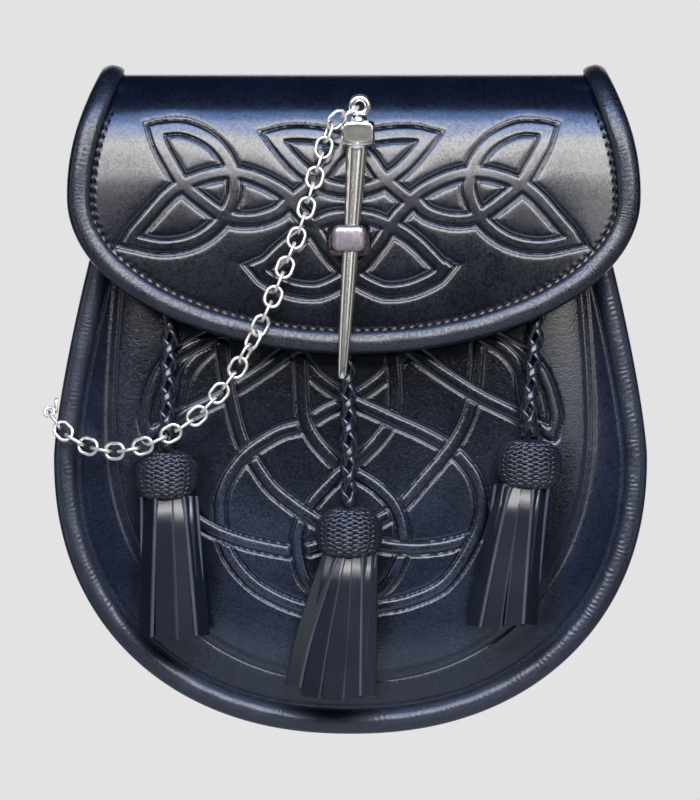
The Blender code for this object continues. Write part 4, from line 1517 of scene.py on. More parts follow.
    def build(self) -> None:
        """Builds the flap: fine over the interlace, coarser over the roll and below."""
        coarse = 1.0
        rows, reach = FLAP.stations(self.edge, 400, 400)
        along = travelled(rows)
        tooled = (rows[:, 1] < self.tooled_top) & (rows[:, 0] < self.front_y)
        pace = np.where(tooled, 1.0 / self.fine, 1.0 / self.plain_step) / coarse
        count = np.concatenate([[0.0], np.cumsum(np.diff(along) * (pace[1:] + pace[:-1]) / 2)])
        at = np.interp(np.arange(0.0, count[-1]), count, along)
        at = np.append(at[:-1], along[-1] - 0.25)
        rows = read_off(at, along, rows)
        reach = np.interp(at, along, reach)
        columns = int(self.columns / coarse)
        x = reach[:, None] * np.linspace(-1.0, 1.0, columns)
        section = np.repeat(rows[:, None, :], columns, axis=1)
        middle = FLAP.place(x, section)
        facing = np.repeat(FLAP.facing(rows)[:, None, :], columns, axis=1)
        out = np.concatenate([np.zeros_like(facing[..., :1]), facing], axis=-1)
        front_side = (section[..., 0] < self.front_y).reshape(-1)
        # sunk: painted shade in the grooves of the interlace and in the stitch slots
        height, sunk, gap = self.relief(middle.reshape(-1, 3)[:, ::2])
        sewn, shade = self.seam(middle.reshape(-1, 3)[:, ::2])
        height, sunk = height + sewn, np.maximum(sunk, shade)
        height, sunk = (np.where(front_side, v, 0.0) for v in (height, sunk))
        gap = np.where(front_side, gap, NO_STRAND)
        # painted shade: the flap's leather is painted darker towards its lower edge
        most, top, run = self.shade
        shelter = most * eased((top - middle[..., 2].reshape(-1)) / run)
        shelter = np.where(front_side, shelter, 0.0)
        lift = (self.wall / 2 + height).reshape(x.shape)
        front, back = middle + out * lift[..., None], middle - out * self.wall / 2
        points, faces = leather_shell(front, back, thinned(len(rows), 6), thinned(columns, 16))
        spare = np.zeros(len(points) - x.size)
        piece = make_mesh("flap_tooled", points, faces, {
            "sunk": np.append(sunk, spare), "gap": np.append(gap, spare + NO_STRAND),
            "shelter": np.append(shelter, spare)}, turn_out=False)
        self.cut_hole(piece)
        fit_out(piece, FLAP_TOOLED, "panel_leather", "flap")

    def cut_hole(self, piece: bpy.types.Object) -> None:
        """Cuts the hole for the post through the flap.

        Args:
            piece: The flap.
        """
        width, height, corner = self.hole
        outline = rounded_box(width, height, corner, 8)
        rings = [[(self.hole_at[0] + x, y, self.hole_at[1] + z) for x, z in outline]
                 for y in (-60.0, -30.0)]
        joined(piece, "DIFFERENCE",
               make_mesh("flap_hole", *tube(np.array(rings))))


def rounded_box(width: float, height: float, corner: float,
                steps: int = 6) -> list[tuple[float, float]]:
    """Gives the outline of a box with round corners, centred on nought.

    Args:
        width: Width of the box.
        height: Height of the box.
        corner: Radius of its corners.
        steps: Points in each corner.

    Returns:
        Points (x, z), anticlockwise.
    """
    points = []
    for quarter, (sx, sz) in enumerate(((1, 1), (-1, 1), (-1, -1), (1, -1))):
        for i in range(steps):
            angle = math.pi / 2 * (quarter + i / (steps - 1))
            points.append((sx * (width / 2 - corner) + corner * math.cos(angle),
                           sz * (height / 2 - corner) + corner * math.sin(angle)))
    return points


@dataclass
class FlapEdging:
    """Rolled leather that binds the flap's edge, with its row of stitches."""

    start_z: float = 23.0
    profile: Line = (
        (-6.6, 1.75), (-6.6, 2.1), (-5.6, 2.9), (-3.0, 3.5), (-0.8, 2.8), (0.0, 1.2),
        (0.0, -1.2), (-0.8, -2.5), (-3.0, -2.9), (-5.8, -2.6), (-5.8, -1.7), (-1.1, -1.7),
        (-1.1, 1.5))
    stitch_pitch: float = 2.7
    stitch_length: float = 1.7
    stitch_in: float = -7.5
    stitch_out: float = 1.12
    stitch_radius: float = 0.42

    def frames(self) -> tuple[np.ndarray, np.ndarray, np.ndarray]:
        """Gives the points of the edge, and the outward and the facing direction at each.

        Returns:
            The points and the two directions, one a row.
        """
        rows, reach = FLAP.stations(0.0, 260, 170)
        start = int(np.argmax(rows[:, 1] > self.start_z)) - 1
        rows, reach = rows[start:], reach[start:]
        face = FLAP.facing(rows)
        rows, reach, face = rows[:-1], reach[:-1], face[:-1]
        half = FLAP.place(reach, rows)
        tip = FLAP.place(np.zeros(1), FLAP.stations(0.0, 260, 170)[0][-1:])
        other = half * (-1.0, 1.0, 1.0) + (2 * FLAP.shift, 0.0, 0.0)
        line = np.vstack([half, tip, other[::-1]])
        facing = np.vstack([face, face[-1:], face[::-1]])
        facing = np.column_stack([np.zeros(len(facing)), facing])
        share = travelled(line)
        at = np.linspace(0.0, share[-1], 1400)
        line, facing = (read_off(at, share, table) for table in (line, facing))
        along = unit(np.gradient(line, axis=0))
        facing = unit(facing - along * (facing * along).sum(axis=1)[:, None])
        return line, np.cross(facing, along), facing

    def build(self) -> None:
        """Sweeps the rolled profile along the flap's edge and sews it down."""
        line, outward, facing = self.frames()
        along = travelled(line)
        profile = rounded(self.profile)
        tall = np.clip(profile[:, 1] / 3.4, 0.0, 1.0)
        slant = along[:, None] + 1.3 * profile[None, :, 0]
        ripple = (uneven(slant, [(17.0, 0.06, 1.0), (41.0, 0.07, 0.2)])
                  + 0.07 * wrinkled(slant, 1.5))
        swell = eased((line[:, 2] + 25.0) / 40.0)[:, None]
        height = profile[None, :, 1] * (1.0 + 0.22 * swell) + ripple * tall[None, :]
        spread = profile[None, :, 0] * (1.0 + 0.1 * swell) + 0.8 * swell
        rings = (line[:, None] + outward[:, None] * spread[..., None]
                 + facing[:, None] * height[..., None])
        points, faces = tube(rings)
        # painted shade in the crease along the roll's inner edge
        sunk = np.exp(-((profile[:, 0] + 6.6) / 0.5) ** 2) * tall
        piece = make_mesh("flap_edging_rolled", points, faces,
                          {"sunk": np.tile(sunk, len(line))})
        fit_out(piece, FLAP_ROLLED, "edge_leather", "flap_binding")
        self.sew()

    def seam(self) -> np.ndarray:
        """Gives the line of the stitches in the leather beside the edging, on the front.

        Returns:
            The points.
        """
        line, outward, facing = self.frames()
        seam = line + outward * self.stitch_in + facing * self.stitch_out
        return seam[(line[:, 1] < -33.0) & (line[:, 2] < 16.0)]

    def sew(self) -> None:
        """Lays the row of stitches."""
        path = make_path("flap_stitches", self.seam())
        grow(path, row_of_stitches, {"Pitch": self.stitch_pitch * MM,
                                     "Radius": self.stitch_radius * MM,
                                     "Length": self.stitch_length * MM}, STITCHING)
        fit_out(path, STITCHING, "edge_leather")


# ---- geometry trees -----------------------------------------------------------------------
def make_path(name: str, *lines: np.ndarray,
              marks: dict[str, Sequence[np.ndarray]] | None = None) -> bpy.types.Object:
    """Makes a piece of bare edges that a geometry tree grows from.

    Args:
        name: Name of the piece.
        lines: One or more lines of points in millimetres.
        marks: Directions or turns that the tree reads, each given line by line.

    Returns:
        The piece, linked to the scene.
    """
    mesh = bpy.data.meshes.new(name)
    edges, start = [], 0
    for line in lines:
        edges += [(start + i, start + i + 1) for i in range(len(line) - 1)]
        start += len(line)
    mesh.from_pydata((np.vstack(lines) * MM).tolist(), edges, [])
    for mark, values in (marks or {}).items():
        layer = mesh.attributes.new(mark, "FLOAT_VECTOR", "POINT")
        layer.data.foreach_set("vector", np.vstack(values).astype(np.float32).ravel())
    return placed(name, mesh)


def grow(piece: bpy.types.Object, make: Callable[[str], bpy.types.NodeTree],
         sizes: dict[str, float], finish: Finish) -> None:
    """Grows a piece through a geometry tree and keeps the plain mesh.

    Args:
        piece: The piece, whose mesh the tree starts from.
        make: Builds the tree.
        sizes: Value of each named input, in metres.
        finish: The finish that the tree sets.
    """
    modifier = piece.modifiers.new("grow", "NODES")
    modifier.node_group = shared(make)
    names = {item.name: item.identifier for item in modifier.node_group.interface.items_tree
             if item.item_type == "SOCKET" and item.in_out == "INPUT"}
    for name, value in sizes.items():
        modifier[names[name]] = value
    modifier[names["Material"]] = finish.material()
    applied(piece)


def geometry_tree(name: str, takes: Sequence[tuple[str, str, Any]]) -> tuple[Board, Any, Any]:
    """Makes a geometry tree that takes a mesh, the named sizes and a material.

    Args:
        name: Name of the tree.
        takes: Its sizes, as (name, socket type, value).

    Returns:
        Its board, the outputs of its input node, and its output node.
    """
    return new_tree("GeometryNodeTree", name,
                    [("Geometry", "Geometry", None), *takes, ("Material", "Material", None)],
                    [("Geometry", "Geometry")])


def close_tree(board: Board, takes: Any, gives: bpy.types.Node,
               last: Any) -> bpy.types.NodeTree:
    """Ends a geometry tree with Realize Instances, shading and Set Material.

    Args:
        board: Board of the tree.
        takes: Outputs of its input node.
        gives: Its output node.
        last: The geometry so far.

    Returns:
        The tree.
    """
    real = board.put("GeometryNodeRealizeInstances", {"Geometry": last})
    shaded = board.put("GeometryNodeSetShadeSmooth", {"Geometry": real.outputs[0],
                                                      "Shade Smooth": True})
    dressed = board.put("GeometryNodeSetMaterial", {"Geometry": shaded.outputs[0],
                                                    "Material": takes["Material"]})
    board.join(gives, {"Geometry": dressed.outputs[0]})
    return board.tree


def row_of_stitches(name: str) -> bpy.types.NodeTree:
    """Builds the tree that lays stitches along a line, each a little off true.

    Args:
        name: Name of the tree.

    Returns:
        The tree.
    """
    board, takes, gives = geometry_tree(name, [("Pitch", "Float", 0.0026),
                                               ("Length", "Float", 0.0015),
                                               ("Radius", "Float", 0.0003)])
    line = board.put("GeometryNodeMeshToCurve", {"Mesh": takes["Geometry"]})
    even = board.put("GeometryNodeResampleCurve", {"Curve": line.outputs[0],
                                                   "Length": takes["Pitch"]}, mode="LENGTH")
    grain = board.put("GeometryNodeMeshUVSphere", {"Segments": 8, "Rings": 5, "Radius": 1.0})
    half = board.sum("MULTIPLY", takes["Length"], 0.5)
    size = board.put("ShaderNodeCombineXYZ", {0: half, 1: takes["Radius"], 2: takes["Radius"]})
    shaped = board.put("GeometryNodeTransform", {"Geometry": grain.outputs[0],
                                                 "Scale": size.outputs[0]})
    course = board.put("GeometryNodeInputTangent")
    turned = board.put("FunctionNodeAlignRotationToVector", {"Vector": course.outputs[0]},
                       axis="X")
    off = board.put("FunctionNodeRandomValue", {0: (-0.12, -0.12, -0.12),
                                                1: (0.12, 0.12, 0.12), "Seed": 7},
                    data_type="FLOAT_VECTOR")
    skew = board.put("FunctionNodeEulerToRotation", {0: off.outputs[0]})
    both = board.put("FunctionNodeRotateRotation", {0: turned.outputs[0], 1: skew.outputs[0]})
    laid = board.put("GeometryNodeInstanceOnPoints",
                     {"Points": even.outputs[0], "Instance": shaped.outputs[0],
                      "Rotation": both.outputs[0]})
    return close_tree(board, takes, gives, laid.outputs[0])


def flat_laces(name: str) -> bpy.types.NodeTree:
    """Builds the tree that makes flat laces along lines, paler along their cut edges.

    Args:
        name: Name of the tree.

    Returns:
        The tree.
    """
    board, takes, gives = geometry_tree(name, [("Width", "Float", 0.006),
                                               ("Thickness", "Float", 0.0014),
                                               ("Around", "Int", 24), ("Edge", "Float", 1.0)])
    line = board.put("GeometryNodeMeshToCurve", {"Mesh": takes["Geometry"]})
    facing = board.put("GeometryNodeInputNamedAttribute", {"Name": "facing"},
                       data_type="FLOAT_VECTOR")
    turned = board.put("GeometryNodeSetCurveNormal", {
        "Curve": line.outputs[0], "Normal": facing.outputs[0]}, mode="FREE")
    shape = board.put("GeometryNodeCurvePrimitiveQuadrilateral",
                      {"Width": takes["Thickness"], "Height": takes["Width"]})
    eased_off = board.put("GeometryNodeFilletCurve", {
        "Curve": shape.outputs[0], "Radius": board.sum("MULTIPLY", takes["Thickness"], 0.35),
        "Count": 3}, mode="POLY")
    even = board.put("GeometryNodeResampleCurve", {"Curve": eased_off.outputs[0],
                                                   "Count": takes["Around"]}, mode="COUNT")
    across = board.put("ShaderNodeSeparateXYZ",
                       {0: board.put("GeometryNodeInputPosition").outputs[0]})
    side = board.sum("ABSOLUTE", across.outputs[1])
    half = board.sum("MULTIPLY", takes["Width"], 0.5)
    rim = board.put("ShaderNodeMapRange", {0: side, 1: board.sum("SUBTRACT", half, 0.0003),
                                           2: board.sum("SUBTRACT", half, 0.00005), 3: 0.0,
                                           4: takes["Edge"]})
    marked = board.put("GeometryNodeStoreNamedAttribute",
                       {"Geometry": even.outputs[0], "Name": "proud",
                        "Value": rim.outputs[0]}, data_type="FLOAT", domain="POINT")
    swept = board.put("GeometryNodeCurveToMesh", {"Curve": turned.outputs[0],
                                                  "Profile Curve": marked.outputs[0],
                                                  "Fill Caps": True})
    return close_tree(board, takes, gives, swept.outputs[0])


def oval_links(name: str) -> bpy.types.NodeTree:
    """Builds the tree that sets an oval wire link on every point, turned as the point says.

    Args:
        name: Name of the tree.

    Returns:
        The tree.
    """
    board, takes, gives = geometry_tree(name, [("Length", "Float", 0.0073),
                                               ("Width", "Float", 0.0057),
                                               ("Wire", "Float", 0.0005)])
    bow = board.sum("SUBTRACT", board.sum("MULTIPLY", takes["Width"], 0.5), takes["Wire"])
    ring = board.put("GeometryNodeCurvePrimitiveCircle", {"Resolution": 32, "Radius": bow})
    turned = board.put("GeometryNodeTransform", {"Geometry": ring.outputs[0],
                                                 "Rotation": (0.0, 0.0, math.pi / 32)})
    place = board.put("ShaderNodeSeparateXYZ",
                      {0: board.put("GeometryNodeInputPosition").outputs[0]})
    part = board.sum("MULTIPLY", board.sum("SUBTRACT", takes["Length"], takes["Width"]), 0.5)
    shift = board.put("ShaderNodeCombineXYZ", {1: board.sum(
        "MULTIPLY", board.sum("SIGN", place.outputs[1]), part)})
    oval = board.put("GeometryNodeSetPosition", {"Geometry": turned.outputs[0],
                                                 "Offset": shift.outputs[0]})
    wire = board.put("GeometryNodeCurvePrimitiveCircle", {"Resolution": 10,
                                                          "Radius": takes["Wire"]})
    link = board.put("GeometryNodeCurveToMesh", {"Curve": oval.outputs[0],
                                                 "Profile Curve": wire.outputs[0]})
    turn = board.put("GeometryNodeInputNamedAttribute", {"Name": "turn"},
                     data_type="FLOAT_VECTOR")
    rotation = board.put("FunctionNodeEulerToRotation", {0: turn.outputs[0]})
    laid = board.put("GeometryNodeInstanceOnPoints",
                     {"Points": takes["Geometry"], "Instance": link.outputs[0],
                      "Rotation": rotation.outputs[0]})
    return close_tree(board, takes, gives, laid.outputs[0])


# ---- metal --------------------------------------------------------------------------------
def wire_ring(centre: np.ndarray, radius: float, wire: float, across: np.ndarray,
              up: np.ndarray, turns: int = 48, sides: int = 14) -> tuple[np.ndarray, list]:
    """Makes a ring of wire in the plane of two directions.

    Args:
        centre: Middle of the ring.
        radius: Radius of the wire's middle line.
        wire: Radius of the wire.
        across: One direction in the ring's plane.
        up: The other, square to it.
        turns: Points round the ring.
        sides: Points round the wire.

    Returns:
        The points and the faces.
    """
    outward = circle(turns).T @ np.array([across, up])
    cosine, sine = circle(sides)
    rings = (centre + outward[:, None] * (radius + wire * cosine)[None, :, None]
             + np.cross(across, up) * (wire * sine)[None, :, None])
    return tube(rings, closed=True)


def joined(piece: bpy.types.Object, operation: str, *others: bpy.types.Object) -> None:
    """Adds to a piece, or cuts from it, through exact Booleans, and removes the others.

    Args:
        piece: The piece.
        operation: UNION or DIFFERENCE.
        others: Pieces to add or to cut out.
    """
    for other in others:
        step = piece.modifiers.new("join", "BOOLEAN")
        step.operation, step.solver, step.object = operation, "EXACT", other
    applied(piece)
    for other in others:
        bpy.data.objects.remove(other)


@dataclass
class Closure:
    """Post that stands through the flap, the pin in its bore, and the pin's ring."""

    post_x: float = -0.45
    post_z: float = -23.7
    block: tuple[float, float, float] = (10.5, 8.0, 8.2)
    corner: float = 2.4
    stem: tuple[float, float] = (7.0, 5.0)
    plate: tuple[float, float, float] = (13.0, 1.2, 11.0)
    bore: float = 5.5
    axis_at: tuple[float, float] = (0.17, -49.4)
    lean: tuple[float, float] = (0.0647, 0.0646)
    shank: Line = (
        (5.4, 6.5), (-7.8, 5.7), (-19.2, 5.0), (-28.5, 4.7), (-42.0, 4.3), (-53.7, 3.85),
        (-62.0, 3.1), (-64.6, 2.7), (-65.5, 2.0), (-65.8, 1.0))
    head: tuple[float, float, float] = (10.2, 8.0, 7.8)
    head_z: float = 7.65
    neck: Line = ((10.6, 6.0), (11.7, 5.2), (12.6, 4.6), (13.4, 3.4))
    eye_z: float = 16.0
    eye: tuple[float, float] = (2.4, 1.1)
    ring: tuple[float, float] = (2.9, 0.55)
    ring_drop: float = 30.0
    ring_reach: float = 3.55
    sides: int = 44
    head_sides: int = 56

    def axis(self, z: np.ndarray | float) -> np.ndarray:
        """Gives the points of the pin's axis at heights.

        Args:
            z: Heights.

        Returns:
            The points.
        """
        rise = np.asarray(z, float) - self.post_z
        return np.stack([self.axis_at[0] + self.lean[0] * rise,
                         self.axis_at[1] + self.lean[1] * rise, rise + self.post_z], axis=-1)

    def turned(self, name: str, section: Line) -> bpy.types.Object:
        """Turns a round part about the pin's axis from (height, diameter) pairs.

        Args:
            name: Name of the part.
            section: The pairs, in order.

        Returns:
            The part.
        """
        z, size = np.array(section, float).T
        wheel = np.column_stack([*circle(self.sides), np.zeros(self.sides)])
        rings = self.axis(z)[:, None] + wheel[None] * (size / 2)[:, None, None]
        return make_mesh(name, *tube(rings))

    def prism(self, name: str, steps: Line, size: tuple[float, float], corner: float,
              at: tuple[float, float]) -> bpy.types.Object:
        """Builds a round-cornered block from front to back.

        Args:
            name: Name of the part.
            steps: (y, inset) of each outline.
            size: Width and height.
            corner: Radius of the corners.
            at: Middle of the block, (x, z).

        Returns:
            The part.
        """
        rings = []
        for y, inset in steps:
            outline = rounded_box(size[0] - 2 * inset, size[1] - 2 * inset,
                                  max(0.3, corner - inset), 7)
            rings.append([(at[0] + x, y, at[1] + z) for x, z in outline])
        return make_mesh(name, *tube(np.array(rings)))

    def build_post(self) -> None:
        """Builds the bored block on its stem and riveted plate."""
        front = self.axis_at[1] - self.block[1] / 2
        back = front + self.block[1]
        plate_at = np.array([[self.post_x, self.post_z - self.plate[2] / 2]])
        plate_y = float(POUCH.front_y(plate_at)[0]) - GAP
        at = (self.post_x, self.post_z)
        post = self.prism("closure_post_cast", (
            (front, 1.9), (front + 0.12, 1.2), (front + 0.5, 0.5), (front + 1.1, 0.12),
            (front + 1.8, 0.0), (back - 1.4, 0.0), (back - 0.5, 0.4), (back, 1.1)),
            (self.block[0], self.block[2]), self.corner, at)
        stem = self.prism("stem", ((back - 1.0, 0.0), (plate_y - 0.5, 0.0)), self.stem, 1.2, at)
        plate = self.prism("plate", ((plate_y - self.plate[1], 0.4),
                                     (plate_y - self.plate[1] + 0.4, 0.0), (plate_y, 0.0)),
                           (self.plate[0], self.plate[2]), 2.0, at)
        joined(post, "UNION", stem, plate)
        bore = self.turned("bore", [(self.post_z + z, self.bore) for z in (-8.0, 8.0)])
        joined(post, "DIFFERENCE", bore)
        fit_out(post, PEWTER, "aged_pewter", "closure_post")

    def build_head(self) -> bpy.types.Object:
        """Builds the pin's block head, bevelled all round, with a dished dark face.

        Returns:
            The head, not yet joined to the pin.
        """
        x0, y0, _ = self.axis(self.head_z)
        wide, deep, high = (s / 2 for s in self.head)
        cosine, sine = circle(self.head_sides)
        rings, marks = [], []
        for y, inset, power, mark in (
                (-deep + 0.03, 3.3, 2.0, 0.9), (-deep + 0.05, 2.2, 2.0, 0.85),
                (-deep + 0.05, 1.3, 2.4, 0.5), (-deep, 0.95, 4.0, 0.0),
                (-deep + 0.1, 0.7, 6.0, 0.0), (-deep + 1.0, 0.12, 8.0, 0.0),
                (-deep + 1.5, 0.0, 8.0, 0.0), (-0.6, 0.0, 8.0, 0.0), (0.8, 0.2, 3.0, 0.0),
                (deep - 1.2, 0.3, 2.8, 0.0), (deep - 0.3, 0.9, 2.8, 0.0),
                (deep, 1.4, 2.8, 0.0)):
            x = (wide - inset) * np.sign(cosine) * np.abs(cosine) ** (2 / power)
            z = (high - inset) * np.sign(sine) * np.abs(sine) ** (2 / power)
            rings.append(in_space(np.column_stack([x0 + x, self.head_z + z]), y0 + y))
            marks.append(np.full(self.head_sides, mark))
        return make_mesh("head", *tube(np.stack(rings)), {"sunk": np.concatenate(marks)},
                         sharp=28.0)

    def build_pin(self) -> None:
        """Builds the tapered pin with its head, neck and eye."""
        shank = smooth_line(self.shank[:7], 5)
        pin = self.turned("closing_pin_silver", [*map(tuple, shank), *self.shank[7:]])
        eye = make_mesh("eye", *wire_ring(self.axis(self.eye_z), *self.eye,
                                          np.array([1.0, 0.0, 0.0]), np.array([0.0, 0.0, 1.0])))
        joined(pin, "UNION", self.build_head(), self.turned("neck", self.neck), eye)
        fit_out(pin, SILVER, "silver_plate", "pin")

    def build_ring(self) -> None:
        """Builds the ring through the pin's eye, pulled down to the left by the chain."""
        drop = math.radians(self.ring_drop)
        pull = np.array([-math.cos(drop), 0.0, -math.sin(drop)])
        ring = make_mesh("jump_ring_silver", *wire_ring(
            self.axis(self.eye_z) + pull * self.ring_reach, *self.ring, pull,
            np.array([0.0, 1.0, 0.0])))
        fit_out(ring, CHAIN_SILVER, "silver_plate", "jump_ring")


@dataclass
class Chain:
    """Keeper chain from the pin's ring to its anchor on the pouch's left edging."""

    length: float = 7.3
    width: float = 5.7
    wire: float = 0.525
    count: int = 33
    route: Line = (
        (-2.5, 13.5, -46.8), (-4.7, 11.9, -47.0), (-6.9, 8.3, -47.3), (-7.9, 3.2, -47.7),
        (-9.5, -1.2, -48.1), (-12.1, -10.5, -48.9), (-15.0, -20.4, -49.8),
        (-18.5, -29.4, -50.6), (-22.1, -38.7, -51.6), (-26.0, -47.6, -52.4),
        (-30.4, -56.5, -52.8), (-35.1, -64.5, -52.6), (-40.7, -71.6, -52.5),
        (-47.4, -78.1, -52.1), (-54.7, -82.6, -51.4), (-62.6, -86.0, -49.5),
        (-70.9, -87.4, -45.6), (-79.4, -85.7, -40.6), (-85.4, -82.2, -38.3),
        (-88.7, -78.2, -35.8), (-89.9, -76.3, -34.5))
    twist: Line = ((1, 32.0), (3, 0.0), (14, 0.0), (18, 90.0), (33, 90.0))
    plate: tuple[float, float, float] = (0.8, 7.0, 4.4)
    plate_at: tuple[float, float] = (-30.7, -73.6)
    loop: tuple[float, float] = (1.5, 0.45)

    def frames(self) -> list[tuple[np.ndarray, np.ndarray, np.ndarray]]:
        """Gives the middle, the direction and the side of every link.

        Returns:
            A middle, a direction and a side for each link.
        """
        ends = evenly(smooth_line([(x, y, z) for x, z, y in self.route]), self.count + 1)
        found = []
        for number, (a, b) in enumerate(zip(ends, ends[1:]), start=1):
            along = (b - a) / np.linalg.norm(b - a)
            side = np.cross(along, (0.0, -1.0, 0.0))
            side /= np.linalg.norm(side)
            at, degrees = np.array(self.twist).T
            turn = math.radians(90.0 * ((number + 1) % 2) + np.interp(number, at, degrees))
            found.append(((a + b) / 2, along,
                          side * math.cos(turn) + np.cross(side, along) * math.sin(turn)))
        return found

    def build(self) -> None:
        """Builds the links as one piece, and the anchor."""
        frames = self.frames()
        turns = [Matrix((side, along, np.cross(side, along))).transposed().to_euler()
                 for _, along, side in frames]
        chain = make_path("keeper_chain_silver", *(middle[None] for middle, _, _ in frames),
                          marks={"turn": turns})
        grow(chain, oval_links, {"Length": self.length * MM, "Width": self.width * MM,
                                 "Wire": self.wire * MM}, CHAIN_SILVER)
        fit_out(chain, CHAIN_SILVER, "silver_plate",
                *(f"chain_link_{n:02d}" for n in range(1, self.count + 1)))
        self.build_anchor(*frames[-1])

    def build_anchor(self, middle: np.ndarray, along: np.ndarray, side: np.ndarray) -> None:
        """Builds the small plate and loop that hold the last link.

        Args:
            middle: Middle of the last link.
            along: Its direction.
            side: Its side.
        """
        thick, deep, high = self.plate
        half = float(POUCH.half_width(self.plate_at[1] - high / 2))
        outline = np.array(rounded_box(deep, high, 1.2, 6))
        rings = []
        for out, inset in ((0.0, 0.0), (thick - 0.25, 0.0), (thick, 0.25)):
            size = 1.0 - 2 * inset / high
            rings.append(np.column_stack([np.full(len(outline), -half - GAP - out),
                                          self.plate_at[0] + outline[:, 0] * size,
                                          self.plate_at[1] + outline[:, 1] * size]))
        plate = make_mesh("chain_anchor_silver", *tube(np.stack(rings)))
        radius, wire = self.loop
        hook = self.length / 2 - 2 * self.wire - GAP - wire
        loop = make_mesh("anchor_loop", *wire_ring(
            middle + along * (hook + radius), radius, wire, np.cross(along, side), along, 32, 10))
        joined(plate, "UNION", loop)
        fit_out(plate, CHAIN_SILVER, "silver_plate", "chain_anchor")


# ---- tassels ------------------------------------------------------------------------------
@dataclass
class Strip:
    """One leather strip of a skirt: where it hangs, in millimetres from the skirt's middle."""

    top: float
    end: float
    depth: float
    turn: float = 0.0
    drop: float = 0.0
    swing: float = 0.0


